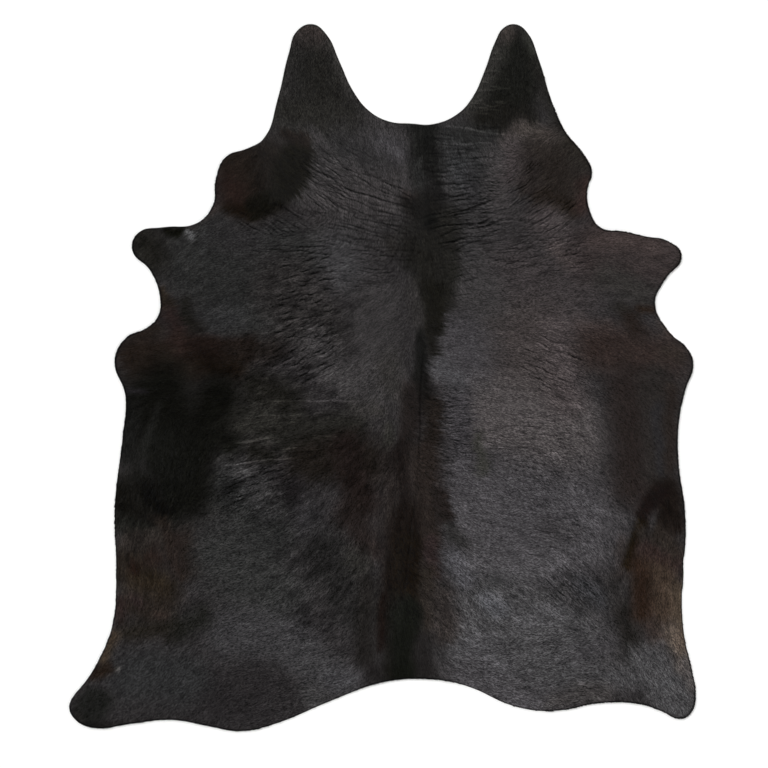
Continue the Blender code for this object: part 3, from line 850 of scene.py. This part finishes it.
def markings_sheen_and_shade(x, y):
    """The coat's colour in sRGB, its own colour with painted sheen and painted shade: every
    patch painted in turn over the grey of the coat.

    A patch's share is its strength, times 1 - ease(f / FADE_WIDTH), where f is how far a
    place is past the patch's spread in soft widths, plus FADE_STARTS. Its edge strays by
    slow swells, and by half as much in swells a third as wide.
    """
    x, y = (
        place
        + PATCH_DRIFT * swells(x, y, PATCH_SWELL, seed)
        + PATCH_DRIFT / 2 * swells(x, y, PATCH_SWELL / 3, seed + 2)
        for place, seed in zip((x, y), PATCH_SEEDS)
    )
    colour = np.tile(srgb(COAT_GREY), (*x.shape, 1))
    for row in starmap(Patch, PATCHES.values()):
        away, _ = from_line(x, y, row)
        fading = (away / CM - row.spread) / row.soft + FADE_STARTS
        share = row.strength * ease(1 - fading / FADE_WIDTH)
        colour += share[..., None] * (srgb(row.colour) - colour)
    return colour


def add_wrinkles(raster, height, tone):
    """Adds every group of wrinkles, and every single crease, to the height and to the tone,
    which is painted shade and painted highlight.

    A group has one wrinkle in each cell of a lattice, as long as its wrinkles and as wide as
    the space between them. Across a wrinkle the height follows
    (1 - WRINKLE_LIGHT a - WRINKLE_CREST a^2) exp(-a^2), where a is the distance in half
    widths, counted down the hide: a trough with a low crest below it, which catches the
    light. The tone follows the same profile: painted shade in the trough and a painted
    highlight on the crest. Along it the wrinkle fades as exp(-b^2), where b is the distance
    in half lengths.

    A crease rises as exp(-a^2) across it, times the square root of 4 s (1 - s) along it,
    where s is the share of its length. Its tone follows the same: a painted highlight where
    the tone is above zero, and painted shade where it is below.
    """
    across, along = (
        place + CREASE_DRIFT * swells(raster.x, raster.y, CREASE_SWELL, seed)
        for place, seed in zip((raster.x, raster.y), CREASE_SEEDS)
    )
    for seed, row in enumerate(starmap(Wrinkles, WRINKLES.values()), WRINKLE_SEED):
        middle, reach = np.array(row[:2]) * CM, np.array(row[2:4]) * CM
        first = ((middle - reach - raster.low) / raster.step).astype(int)
        last = ((middle + reach - raster.low) / raster.step).astype(int)
        part = tuple(slice(max(a, 0), b) for a, b in zip(first, last))
        x, y = across[part] - middle[0], along[part] - middle[1]
        border = ease((1 - np.hypot(x / reach[0], y / reach[1])) / WRINKLE_BORDER)
        turn_x, turn_y = math.cos(math.radians(row.angle)), math.sin(math.radians(row.angle))
        length, spacing = row.length * CM, row.spacing * CM
        lattice = (x * turn_x + y * turn_y) / length, (y * turn_x - x * turn_y) / spacing
        total = np.zeros(x.shape)
        for away_along, away_across, drawn in strewn(*lattice, 1, 2, 4, seed):
            strength, turn, bend, size = drawn
            strength = between(*WRINKLE_STRENGTHS, strength)
            b = away_along / between(*WRINKLE_SIZES, size)
            tilt = math.radians(WRINKLE_TURN) * (2 * turn - 1) * length * away_along
            a = away_across * spacing - tilt + WRINKLE_BEND * (2 * bend - 1) * b**2
            a /= -row.width * MM
            profile = 1 - WRINKLE_LIGHT * a - WRINKLE_CREST * a**2
            total += strength * profile * np.exp(-(a**2) - b**2)
        height[part] -= math.copysign(row.depth, row.tone) * MM * total * border
        tone[part] -= row.tone * total * border
    for row in starmap(Crease, CREASES.values()):
        away, share = from_line(across, along, row)
        taper = np.sqrt(4 * share * (1 - share))
        profile = np.exp(-((away / (row.half_width * MM)) ** 2)) * taper
        height += row.height * MM * profile
        tone += row.tone * profile


# ----------------------------------------
# The coat's locks


def nearest_tufts(x, y, lie_x, lie_y, width, length, seed):
    """The tuft that each lock belongs to, of tufts that are longer than wide and lie along
    the hair: its three random numbers from -1 to 1, and how far across it the lock is, in
    widths. It is the one with the least a^2 + b^2, where a and b are how far its middle is
    along the hair in lengths and across it in widths."""
    nearest = np.full(x.shape, np.inf)
    kept = np.zeros((4, *x.shape))
    for away_x, away_y, drawn in strewn(x, y, math.sqrt(width * length), 2, 3, seed):
        along = (away_x * lie_x + away_y * lie_y) / length
        across = (away_y * lie_x - away_x * lie_y) / width
        away = along**2 + across**2
        closer = away < nearest
        np.copyto(nearest, away, where=closer)
        np.copyto(kept, np.stack([*(2 * drawn.astype(float) - 1), across]), where=closer)
    return kept


class Hide:
    """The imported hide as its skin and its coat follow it: its cut edge, and fields over it."""

    def __init__(self):
        places, triangles = packed_hide()
        self.edge = cut_edge(places, triangles)
        self.slow, self.colours, self.fine = (
            Raster(step) for step in (SLOW_STEP, COLOUR_STEP, FINE_STEP)
        )
        self.inside = from_edge(self.slow.x, self.slow.y, self.edge[::EDGE_STEPS])
        self.height = relief(self.slow, places)
        self.lie = hair_lie(self.slow.x, self.slow.y)
        x, y = self.colours.x, self.colours.y
        # The hide's own colour patches, with their painted sheen and painted shade.
        self.marking_sheen_and_shade = markings_sheen_and_shade(x, y)
        lie_x, lie_y, _, mottle, _ = np.moveaxis(self.slow.read(self.lie, x, y), -1, 0)
        self.mottle = mottle * sum(
            streaks(x, y, lie_x, lie_y, *size, seed)
            for seed, size in enumerate(STREAKS, STREAK_SEED)
        )
        self.crease = np.zeros(self.fine.x.shape)
        # The tone of the wrinkles and creases: painted shade and painted highlights.
        self.tone = np.zeros(self.fine.x.shape)
        add_wrinkles(self.fine, self.crease, self.tone)

    def to_edge(self, x, y):
        """Distance from the cut edge, from the slow raster, and exact close to the edge."""
        found = self.slow.read(self.inside, x, y)
        close = abs(found) < NEAR_EDGE
        found[close] = from_edge(x[close], y[close], self.edge)
        return found

    def skin_height(self, x, y, coat_depth):
        """Top of the skin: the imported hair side, less the depth of the coat."""
        top = self.slow.read(self.height, x, y) - coat_depth
        return np.maximum(top + self.fine.read(self.crease, x, y), SKIN_LEAST)

    def hair_height(self, x, y, coat_depth):
        """Top of the coat as it lies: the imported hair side."""
        top = self.slow.read(self.height, x, y) + self.fine.read(self.crease, x, y)
        return np.maximum(top, SKIN_LEAST + coat_depth)

    def shade(self, x, y):
        """How light the coat is beside its patch colour: 1 plus the wrinkles' and creases' tone,
        which is painted shade and painted highlight, times 1 plus the streaks along the hair,
        and with painted shade at the cut edge, darker by RIM_SHADE, which eases off over
        RIM_SHADE_WIDTH."""
        shade = 1 + np.clip(self.fine.read(self.tone, x, y), TONE_LEAST, TONE_MOST)
        shade *= 1 + self.colours.read(self.mottle, x, y)
        rim = ease(self.slow.read(self.inside, x, y) / RIM_SHADE_WIDTH)
        return shade * (1 - RIM_SHADE * (1 - rim))


@cache
def the_hide():
    """The hide's fields, which no setting changes, so they are worked out once."""
    return Hide()


def painted(colour):
    """Linear colour that makes a surface look like the sRGB colour in the studio: less what
    the coat's gloss adds, over what its own shadows take."""
    return np.maximum(linear(colour) - GLOSS_ADDS, LEAST_COLOUR) / SHADOWS_LEAVE


def mesh_from(name, places, corners, sides=3):
    """A mesh of faces with the same number of sides, from a row of corners for each."""
    mesh = bpy.data.meshes.new(name)
    mesh.vertices.add(len(places))
    mesh.vertices.foreach_set("co", places.astype(np.float32).ravel())
    mesh.loops.add(corners.size)
    mesh.loops.foreach_set("vertex_index", corners.astype(np.int32).ravel())
    mesh.polygons.add(len(corners))
    mesh.polygons.foreach_set("loop_start", np.arange(0, corners.size, sides, dtype=np.int32))
    mesh.update(calc_edges=True)
    mesh.validate()
    return mesh


def give_colours(mesh, name, colours):
    """Adds a colour for each point, in linear light."""
    layer = mesh.color_attributes.new(name, "FLOAT_COLOR", "POINT")
    values = np.ones((len(colours), 4), np.float32)
    values[:, :3] = colours
    layer.data.foreach_set("color", values.ravel())


def give_map(mesh, name, places):
    """Adds a UV map from a place for each corner."""
    layer = mesh.uv_layers.new(name=name)
    layer.data.foreach_set("uv", places.astype(np.float32).ravel())


def finish_piece(name, mesh, materials):
    """Puts the mesh into the scene as a piece that lies with the hide."""
    for material in materials:
        mesh.materials.append(material)
    mesh.shade_smooth()
    piece = bpy.data.objects.new(name, mesh)
    bpy.context.scene.collection.objects.link(piece)
    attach(piece, BODY)
    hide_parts("hide")
    return piece


def triangulated(edge, step, inside_by, hide):
    """Points and triangles of a flat sheet inside a closed edge: the edge's own points come
    first, then those of a square grid that lie far enough inside it."""
    columns, rows = (
        np.arange(-math.floor(size / 2 / step), math.floor(size / 2 / step) + 1) * step
        for size in (FLAT_WIDTH, FLAT_LENGTH)
    )
    x, y = (axis.ravel() for axis in np.meshgrid(columns, rows, indexing="ij"))
    kept = hide.to_edge(x, y) > inside_by
    places = np.vstack([edge, np.column_stack([x, y])[kept]])
    ring = np.arange(len(edge))
    sides = np.column_stack([ring, np.roll(ring, -1)])
    found = geometry.delaunay_2d_cdt(places.tolist(), sides.tolist(), [], 1, SAME_PLACE)
    if len(found[0]) != len(places):
        raise RuntimeError("the sheet's points don't all stand apart")
    return places, np.array(found[2])


def build_skin(hide, settings):
    """The tanned skin as one thin closed sheet.

    Its top is a grid of points at the skin's height, and its underside lies on the floor.
    Its cut edge is a strip of the rows in EDGE_ROWS: a row with inset d and share h runs
    through edge + d n, at h times the skin's height, where n is the edge's inward normal.
    """
    edge, depth = hide.edge, settings.coat_depth
    along = np.roll(edge, -1, 0) - np.roll(edge, 1, 0)
    inwards = np.column_stack([-along[:, 1], along[:, 0]])
    inwards /= np.linalg.norm(inwards, axis=1, keepdims=True)
    rim_height = hide.skin_height(*edge.T, depth)
    rows = [
        np.column_stack([edge + inwards * inset, rim_height * share])
        for inset, share in EDGE_ROWS
    ]
    count = len(edge)
    top, top_faces = triangulated(rows[0][:, :2], settings.skin_cell, TOP_INSET, hide)
    low, low_faces = triangulated(rows[-1][:, :2], UNDERSIDE_CELL, UNDERSIDE_INSET, hide)
    top = np.column_stack([top, hide.skin_height(*top.T, depth)])
    top[:count] = rows[0]
    low = np.column_stack([low, np.zeros(len(low))])

    # Points are numbered top first, then the strip's inner rows, then the underside, whose
    # first points are the strip's last row.
    strip = np.arange(count)
    starts = [0, *(len(top) + count * i for i in range(len(rows) - 1))]
    low_start = starts[-1]
    faces = [top_faces, low_faces[:, ::-1] + low_start]
    for upper, lower in zip(starts, starts[1:]):
        following = np.roll(strip, -1)
        a, b, c, d = strip + upper, following + upper, following + lower, strip + lower
        faces += [np.column_stack([a, d, c]), np.column_stack([a, c, b])]
    places = np.vstack([top, *rows[1:-1], low])
    corners = np.vstack(faces)
    mesh = mesh_from(SKIN_NAME, places, corners)
    slots = np.full(len(corners), EDGE_SLOT, np.int32)
    slots[: len(top_faces)] = GRAIN_SLOT
    slots[len(top_faces) : len(top_faces) + len(low_faces)] = FLESH_SLOT
    mesh.polygons.foreach_set("material_index", slots)
    # The skin takes the coat's colour: patches with painted sheen and painted shade, times the
    # painted shade and highlights of wrinkles, creases and rim.
    colours = hide.colours.read(hide.marking_sheen_and_shade, places[:, 0], places[:, 1])
    colours *= hide.shade(places[:, 0], places[:, 1])[:, None]
    give_colours(mesh, COLOUR_NAME, painted(colours) * np.array(settings.coat_tint))

    # The map's lower left quarter holds the hair side and the cut edge, and its upper right
    # quarter the flesh side.
    size = max(FLAT_WIDTH, FLAT_LENGTH) * (1 + MAP_BORDER)
    flat = places[corners.ravel(), :2] / size / 2 + 0.25
    flat[np.repeat(slots, 3) == FLESH_SLOT] += 0.5
    give_map(mesh, BAKE_MAP, flat)
    return mesh


def draw_locks(hide, settings):
    """Where each lock has its root, and how it lies: arrays of one length.

    Roots stand on a square grid, each moved at random inside its own cell. With u a random
    number from -1 to 1 of a lock's own, and v and w those of its small and large tuft, it is
    turned from the hair's direction by OWN_TURN u + SMALL_TURN v + LARGE_TURN w, and its
    length is the setting times MEAN_LENGTH + OWN_LENGTH u + TUFT_LENGTH v. It is shortened
    where it would reach too far past the cut edge.
    """
    random = np.random.default_rng(settings.seed)
    step = settings.lock_spacing
    columns, rows = (
        np.arange(-size / 2, size / 2, step) + step / 2 for size in (FLAT_WIDTH, FLAT_LENGTH)
    )
    x, y = (axis.ravel() for axis in np.meshgrid(columns, rows, indexing="ij"))
    x = x + random.uniform(-step / 2, step / 2, x.shape)
    y = y + random.uniform(-step / 2, step / 2, y.shape)
    inside = hide.to_edge(x, y)
    kept = inside > ROOT_INSET
    x, y, inside = x[kept], y[kept], inside[kept]

    lie_x, lie_y, grain, _, feather = hide.slow.read(hide.lie, x, y).T
    small = nearest_tufts(x, y, lie_x, lie_y, *SMALL_TUFT, settings.seed + 1)
    large = nearest_tufts(x, y, lie_x, lie_y, *LARGE_TUFT, settings.seed + 2)
    own = random.uniform(-1, 1, (4, len(x)))
    turn = OWN_TURN * own[0] + SMALL_TURN * small[1] + LARGE_TURN * large[1]
    angle = np.arctan2(lie_y, lie_x) + np.radians(turn - GATHER * small[3])
    length = MEAN_LENGTH + OWN_LENGTH * own[1] + TUFT_LENGTH * small[0]
    length *= settings.lock_length
    along_x, along_y = np.cos(angle), np.sin(angle)
    near = np.flatnonzero(inside < settings.lock_length * EDGE_ZONE)
    tip_inside = hide.to_edge(
        x[near] + along_x[near] * length[near], y[near] + along_y[near] * length[near]
    )
    reach = settings.overhang * between(LEAST_REACH, 1, random.random(len(near)))
    share = (inside[near] + reach) / np.maximum(inside[near] - tip_inside, SAME_PLACE)
    length[near] *= np.where(tip_inside < -reach, np.clip(share, SHORTEST, 1), 1)
    return {
        "x": x,
        "y": y,
        "along_x": along_x,
        "along_y": along_y,
        "length": length,
        "grain": grain,
        "feather": feather * MM,
        "strand": streaks(x, y, lie_x, lie_y, *STRANDS, settings.seed + 3),
        "small": small,
        "large": large,
        "own": own,
    }


def lock_places(hide, settings, lock):
    """The four points of each lock: root, right, tip and left.

    A lock is a kite folded along its middle. A point at a share t of its length and s half
    widths to its right lies at root + t length along + s half right, and (t, s) is (0, 0),
    (WIDEST_AT, 1), (1, 0) and (WIDEST_AT, -1). Its root is in the skin and its tip on top of
    the coat, both sides are a little lower than its middle line, and it rolls to one side
    with its tuft.
    """
    small, large, own = lock["small"], lock["large"], lock["own"]
    side_x, side_y = lock["along_y"], -lock["along_x"]  # to the right of the tip's way
    half = settings.lock_width / 2 * (1 + WIDTH_VARIES * own[3])
    ends = []
    for along, side in ((0, 0), (WIDEST_AT, 1), (1, 0), (WIDEST_AT, -1)):
        x = lock["x"] + lock["along_x"] * lock["length"] * along + side_x * half * side
        y = lock["y"] + lock["along_y"] * lock["length"] * along + side_y * half * side
        ends.append((x, y))
    root_z = hide.skin_height(*ends[0], settings.coat_depth)
    full = lock["length"] / settings.lock_length  # a short lock at the edge rises less
    lift = (1 + SMALL_LIFT * small[2] + LARGE_LIFT * large[2] + OWN_LIFT * own[2]) / 2
    lift *= TIP_LIFT * np.minimum(full, 1)
    tip_z = hide.hair_height(*ends[2], settings.coat_depth) + lift
    middle_z = root_z + (tip_z - root_z) * MIDDLE_RISE
    roll = np.tan(np.radians(SMALL_ROLL * small[1] + OWN_ROLL * own[3])) * half
    sides_z = [
        np.maximum(
            middle_z - CROWN * half + side * roll,
            hide.skin_height(*ends[i], settings.coat_depth),
        )
        for i, side in ((1, -1), (3, 1))
    ]
    heights = (root_z, sides_z[0], tip_z, sides_z[1])
    return np.stack([np.column_stack([*end, z]) for end, z in zip(ends, heights)], 1)


def lock_colours(hide, settings, lock):
    """A linear colour for each point of each lock.

    A point has the shade of the place where it is seen: the streaks along the hair, the
    painted shade and painted highlights of wrinkles and creases, and the painted shade at the
    rim. The whole lock takes its patch's colour, with its painted sheen and painted shade,
    from further along the hair or further back, as far as its strand reaches into the
    neighbouring patch. Its tone is (1 + g n) / (1 + GRAIN_LIGHT g^2), where g is the
    coat's grain there and n the sum of what its tufts, its strand and itself give, and it
    has painted shade at the root, where other locks lie over it, and is a little lighter at
    the tip.
    """
    small, large, own = lock["small"], lock["large"], lock["own"]
    shades = [
        hide.shade(lock["x"] + lock["along_x"] * along, lock["y"] + lock["along_y"] * along)
        for along in (lock["length"] * MIDDLE_SEEN, lock["length"] * TIP_SEEN)
    ]
    seen = lock["length"] + lock["feather"] * lock["strand"]
    x, y = lock["x"] + lock["along_x"] * seen, lock["y"] + lock["along_y"] * seen
    out = hide.slow.read(hide.inside, x, y) < 0
    x, y = np.where(out, lock["x"], x), np.where(out, lock["y"], y)
    colour = hide.colours.read(hide.marking_sheen_and_shade, x, y)
    grain = SMALL_GRAIN * small[0] + LARGE_GRAIN * large[0] + OWN_GRAIN * own[1]
    grain += STRAND_GRAIN * lock["strand"]
    grain = (1 + lock["grain"] * grain) / (1 + GRAIN_LIGHT * lock["grain"] ** 2)
    middle, tip = (shade * grain for shade in shades)
    tones = np.stack([middle * ROOT_TONE, middle, tip * TIP_TONE, middle], 1)
    colours = colour[:, None, :] * np.clip(tones, *TONE_RANGE)[..., None]
    return painted(colours) * np.array(settings.coat_tint)


def build_coat(hide, settings):
    """The coat's locks as meshes, one for each strip of the hide from neck to tail."""
    lock = draw_locks(hide, settings)
    places = lock_places(hide, settings, lock)
    colours = lock_colours(hide, settings, lock)
    borders = np.quantile(lock["x"], np.linspace(0, 1, len(COAT_STRIPS) + 1))
    strip = np.searchsorted(borders[1:-1], lock["x"])
    return [
        (name, lock_mesh(name, places[strip == i], colours[strip == i]))
        for i, name in enumerate(COAT_STRIPS)
    ]


def lock_mesh(name, places, colours):
    """Two triangles for each lock. In the map for baking each lock has a square of its own,
    and in the map of hairs each lock fills the whole square."""
    count = len(places)
    corners = (np.arange(count)[:, None] * 4 + KITE_TRIANGLES).reshape(-1, 3)
    mesh = mesh_from(name, places.reshape(-1, 3), corners)
    give_colours(mesh, COLOUR_NAME, colours.reshape(-1, 3))
    kite = np.take(KITE_ON_MAP, KITE_TRIANGLES, 0)
    across = math.ceil(math.sqrt(count))
    square = np.arange(count)
    square = np.stack([square % across, square // across], 1)[:, None]
    give_map(mesh, BAKE_MAP, (square + kite) / across)
    give_map(mesh, HAIR_MAP, np.tile(kite, (count, 1, 1)) + square)
    return mesh


# ----------------------------------------
# Materials


def add_node(tree, kind, inputs, **settings):
    """Adds a node to the tree. inputs gives each socket a value, or the socket it is fed
    from."""
    node = tree.nodes.new(kind)
    for name, value in settings.items():
        setattr(node, name, value)
    for socket, value in inputs.items():
        if isinstance(value, bpy.types.NodeSocket):
            tree.links.new(value, node.inputs[socket])
        else:
            node.inputs[socket].default_value = value
    return node


def new_material(name, **finish):
    """A material with its Principled shader, whose sockets get the given constants."""
    material = bpy.data.materials.new(name)
    material.use_nodes = True
    shader = material.node_tree.nodes["Principled BSDF"]
    for socket, value in finish.items():
        shader.inputs[socket.replace("_", " ")].default_value = value
    return material, material.node_tree, shader


def opaque(colour, share=1.0):
    """A linear colour times a share, as a colour socket takes it."""
    return (*(float(value) * share for value in colour), 1.0)


def object_place(tree):
    """Where each point lies on its piece, in metres."""
    return add_node(tree, "ShaderNodeTexCoord", {}).outputs["Object"]


def noise(tree, place, size, detail=2.0):
    """A cloudy value round a half, with clouds about size wide."""
    inputs = {"Vector": place, "Scale": 1 / size, "Detail": detail}
    return add_node(tree, "ShaderNodeTexNoise", inputs).outputs["Fac"]


def colour_by_coat(tree, shader, tone):
    """Base colour: the colour that each point of the mesh has, times the tone."""
    own = add_node(tree, "ShaderNodeAttribute", {}, attribute_name=COLOUR_NAME)
    inputs = {0: own.outputs["Color"], "Scale": tone}
    toned = add_node(tree, "ShaderNodeVectorMath", inputs, operation="SCALE")
    tree.links.new(toned.outputs["Vector"], shader.inputs["Base Color"])


def colour_by_ramp(tree, shader, value, palest, darkest_share, ends=(0.0, 1.0)):
    """Base colour: from the palest colour times darkest_share, where the value is at the
    first end, to the palest colour at the second."""
    ramp = add_node(tree, "ShaderNodeValToRGB", {"Fac": value})
    for point, place, share in zip(ramp.color_ramp.elements, ends, (darkest_share, 1.0)):
        point.position, point.color = place, opaque(palest, share)
    tree.links.new(ramp.outputs["Color"], shader.inputs["Base Color"])


def raise_by(tree, shader, height, strength, distance):
    """Bumps as high as the distance in metres where the height is 1."""
    inputs = {"Height": height, "Strength": strength, "Distance": distance}
    bump = add_node(tree, "ShaderNodeBump", inputs)
    tree.links.new(bump.outputs["Normal"], shader.inputs["Normal"])


def cattle_hair():
    """Short cattle hair, tanned on the hide and combed flat. The eye sees a dark, close,
    glossy coat whose tufts differ in tone, with single hairs as fine lines along a lock.

    A hair is about 0.06 mm thick, too fine to show, so a lock has HAIR_LINES lines instead.
    """
    material, tree, shader = new_material(
        "tanned cattle hair, combed flat",
        Roughness=HAIR_ROUGHNESS,
        IOR=1.55,
        Specular_IOR_Level=HAIR_GLOSS,
    )
    flat = add_node(tree, "ShaderNodeUVMap", {}, uv_map=HAIR_MAP)
    stretched = add_node(
        tree,
        "ShaderNodeMapping",
        {"Vector": flat.outputs["UV"], "Scale": (HAIR_LINES, 0.7, 1.0)},
    )
    hairs = add_node(
        tree,
        "ShaderNodeTexNoise",
        {"Vector": stretched.outputs["Vector"], "Scale": 1.0, "Detail": 1.0},
        noise_dimensions="2D",
    )
    tone = add_node(
        tree,
        "ShaderNodeMapRange",
        {
            "Value": hairs.outputs["Fac"],
            "From Min": 0.3,
            "From Max": 0.7,
            "To Min": 0.72,
            "To Max": 1.28,
        },
    )
    colour_by_coat(tree, shader, tone.outputs["Result"])
    return material


def skin_under_hair():
    """The grain side of tanned cattle hide, dark from the hair's own pigment. It shows as
    dull dark leather with pores where the coat parts."""
    material, tree, shader = new_material(
        "tanned cattle hide, grain side", Roughness=0.7, Specular_IOR_Level=0.2
    )
    pores = add_node(
        tree,
        "ShaderNodeTexVoronoi",
        {"Vector": object_place(tree), "Scale": 1 / PORE_SPACING},
    )
    shade = add_node(
        tree,
        "ShaderNodeMapRange",
        {"Value": pores.outputs["Distance"], "To Min": 0.45, "To Max": 0.8},
    )
    colour_by_coat(tree, shader, shade.outputs["Result"])
    raise_by(tree, shader, pores.outputs["Distance"], 0.4, 0.0003)
    return material


def knife_cut_edge(palest):
    """Edge of the hide as the knife leaves it. The eye sees matt grey-brown fibres, lighter
    and darker, and only from close by."""
    material, tree, shader = new_material(
        "knife-cut hide edge", Roughness=0.85, Specular_IOR_Level=0.15
    )
    fibres = noise(tree, object_place(tree), FIBRE_SIZE, 3.0)
    colour_by_ramp(tree, shader, fibres, palest, 0.3)
    raise_by(tree, shader, fibres, 0.5, 0.0004)
    return material


def sueded_flesh_side(palest):
    """Flesh side, shaved and buffed to suede: a pale beige-grey nap, with painted sheen in
    clouds, lighter and darker where it was stroked one way or the other."""
    material, tree, shader = new_material(
        "buffed suede, flesh side", Roughness=0.92, Specular_IOR_Level=0.1, Sheen_Weight=0.25
    )
    place = object_place(tree)
    # painted sheen: lighter and darker clouds where the nap was stroked one way or the other
    clouds = noise(tree, place, CLOUD_SIZE, 4.0)
    nap = noise(tree, place, NAP_SIZE)
    mixed = add_node(
        tree, "ShaderNodeMath", {0: clouds, 1: nap, 2: 0.15}, operation="MULTIPLY_ADD"
    )
    colour_by_ramp(tree, shader, mixed.outputs["Value"], palest, 0.55, (0.25, 0.6))
    raise_by(tree, shader, nap, 0.4, 0.0004)
    return material


def studio_floor(paint):
    """Matt white paint on a studio floor, with the faint unevenness of a roller."""
    material, tree, shader = new_material(
        "matt white floor paint", Roughness=0.9, Specular_IOR_Level=0.1
    )
    roller = noise(tree, object_place(tree), ROLLER_SIZE)
    colour_by_ramp(tree, shader, roller, paint, 0.965)
    return material


# ----------------------------------------
# Operators


class RUG_OT_skin(bpy.types.Operator):
    """Makes the tanned skin with its knife-cut edge and its suede underside"""

    bl_idname = "rug.skin"
    bl_label = "Skin"

    def execute(self, context):
        settings = context.scene.cowhide_rug
        materials = (
            skin_under_hair(),
            knife_cut_edge(settings.cut_edge),
            sueded_flesh_side(settings.flesh_side),
        )
        finish_piece(SKIN_NAME, build_skin(the_hide(), settings), materials)
        return {"FINISHED"}


class RUG_OT_coat(bpy.types.Operator):
    """Makes the coat of short flat hair on the skin, in strips from neck to tail"""

    bl_idname = "rug.coat"
    bl_label = "Coat"

    def execute(self, context):
        skin = bpy.data.objects.get(SKIN_NAME)
        if skin is None:
            raise RuntimeError("make the skin before its coat")
        hair = cattle_hair()
        meshes = build_coat(the_hide(), context.scene.cowhide_rug)
        strips = [finish_piece(name, mesh, (hair,)) for name, mesh in meshes]
        return {"FINISHED"}


def floor_mesh():
    """A flat floor of rings round the hide's middle, open inside the first, where the hide
    covers it: ring r has the points (r cos t, r sin t) at even steps of the angle t."""
    angle, radius = np.meshgrid(
        np.linspace(0, 2 * np.pi, FLOOR_SIDES + 1)[:-1], FLOOR_RINGS, indexing="ij"
    )
    height = np.full(radius.shape, -FLOOR_GAP)
    places = np.stack([radius * np.cos(angle), radius * np.sin(angle), height], -1)
    index = np.arange(radius.size).reshape(radius.shape)
    turned = np.roll(index, -1, 0)
    corners = np.stack([index[:, :-1], index[:, 1:], turned[:, 1:], turned[:, :-1]], -1)
    return mesh_from("floor", places.reshape(-1, 3), corners.reshape(-1, 4), 4)


def studio_walls():
    """Soft white light from all sides, which fades towards the ceiling."""
    world = bpy.data.worlds.new("studio walls")
    world.use_nodes = True
    tree = world.node_tree
    place = add_node(tree, "ShaderNodeTexCoord", {})
    height = add_node(tree, "ShaderNodeSeparateXYZ", {"Vector": place.outputs["Generated"]})
    glow = add_node(
        tree,
        "ShaderNodeMapRange",
        {
            "Value": height.outputs["Z"],
            "From Min": WALL_TOP,
            "From Max": CEILING,
            "To Min": WALL_LIGHT,
            "To Max": CEILING_LIGHT,
        },
        interpolation_type="SMOOTHSTEP",
    )
    background = tree.nodes["Background"]
    tree.links.new(glow.outputs["Result"], background.inputs["Strength"])
    background.inputs["Color"].default_value = opaque((1, 1, 1))
    return world


def new_sun(name, row):
    """A sun so far off that it lights the whole floor alike. With t and h its turn and its
    height, the way to it is (cos t cos h, sin t cos h, sin h)."""
    light = bpy.data.lights.new(name, "SUN")
    light.energy = row.strength
    light.angle = math.radians(row.softness)
    sun = bpy.data.objects.new(name, light)
    turn, height = math.radians(row.turn), math.radians(row.height)
    from_there = Vector(
        (math.cos(turn) * math.cos(height), math.sin(turn) * math.cos(height), math.sin(height))
    )
    sun.rotation_mode = "QUATERNION"
    sun.rotation_quaternion = from_there.to_track_quat("Z", "Y")
    sun.location = from_there * SUN_AWAY
    return sun


def new_camera():
    """A camera that looks straight down, as high as its lens needs for the view's width."""
    lens = bpy.data.cameras.new("camera")
    lens.lens, lens.sensor_width = LENS, SENSOR_WIDTH
    camera = bpy.data.objects.new("camera", lens)
    camera.location = (*VIEW_MIDDLE, VIEW_WIDTH * LENS / SENSOR_WIDTH)
    return camera


class RUG_OT_stage(bpy.types.Operator):
    """Makes the white floor, the soft light from all sides and the camera above the hide"""

    bl_idname = "rug.stage"
    bl_label = "Studio"

    def execute(self, context):
        scene = context.scene
        mesh = floor_mesh()
        mesh.materials.append(studio_floor(scene.cowhide_rug.floor))
        floor = bpy.data.objects.new("floor", mesh)
        suns = [new_sun(name, Sun(*row)) for name, row in SUNS.items()]
        camera = new_camera()
        for each in (floor, *suns, camera):
            scene.collection.objects.link(each)
        floor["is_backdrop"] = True
        scene.world = studio_walls()
        scene.camera = camera
        scene.view_settings.view_transform = "Standard"
        return {"FINISHED"}


class RUG_PT_panel(bpy.types.Panel):
    """Lists the rug's settings and the pieces to make"""

    bl_idname = "RUG_PT_panel"
    bl_label = "Cowhide rug"
    bl_space_type = "VIEW_3D"
    bl_region_type = "UI"
    bl_category = "Rug"

    def draw(self, context):
        for name in RugSettings.__annotations__:
            self.layout.prop(context.scene.cowhide_rug, name)
        for operator in OPERATORS:
            self.layout.operator(operator.bl_idname)


OPERATORS = (RUG_OT_skin, RUG_OT_coat, RUG_OT_stage)
CLASSES = (RugSettings, *OPERATORS, RUG_PT_panel)


def register():
    for each in CLASSES:
        bpy.utils.register_class(each)
    bpy.types.Scene.cowhide_rug = PointerProperty(type=RugSettings)


def unregister():
    del bpy.types.Scene.cowhide_rug
    for each in reversed(CLASSES):
        bpy.utils.unregister_class(each)


def main():
    """Makes every piece and the studio, and works out how large they are."""
    register()
    bpy.ops.rug.skin()
    bpy.ops.rug.coat()
    bpy.ops.rug.stage()
    sizes = {
        name: [list(corner) for corner in box]
        for name, box in (("cad", CAD_BOX), ("visual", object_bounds()))
    }


if __name__ == "__main__":
    main()
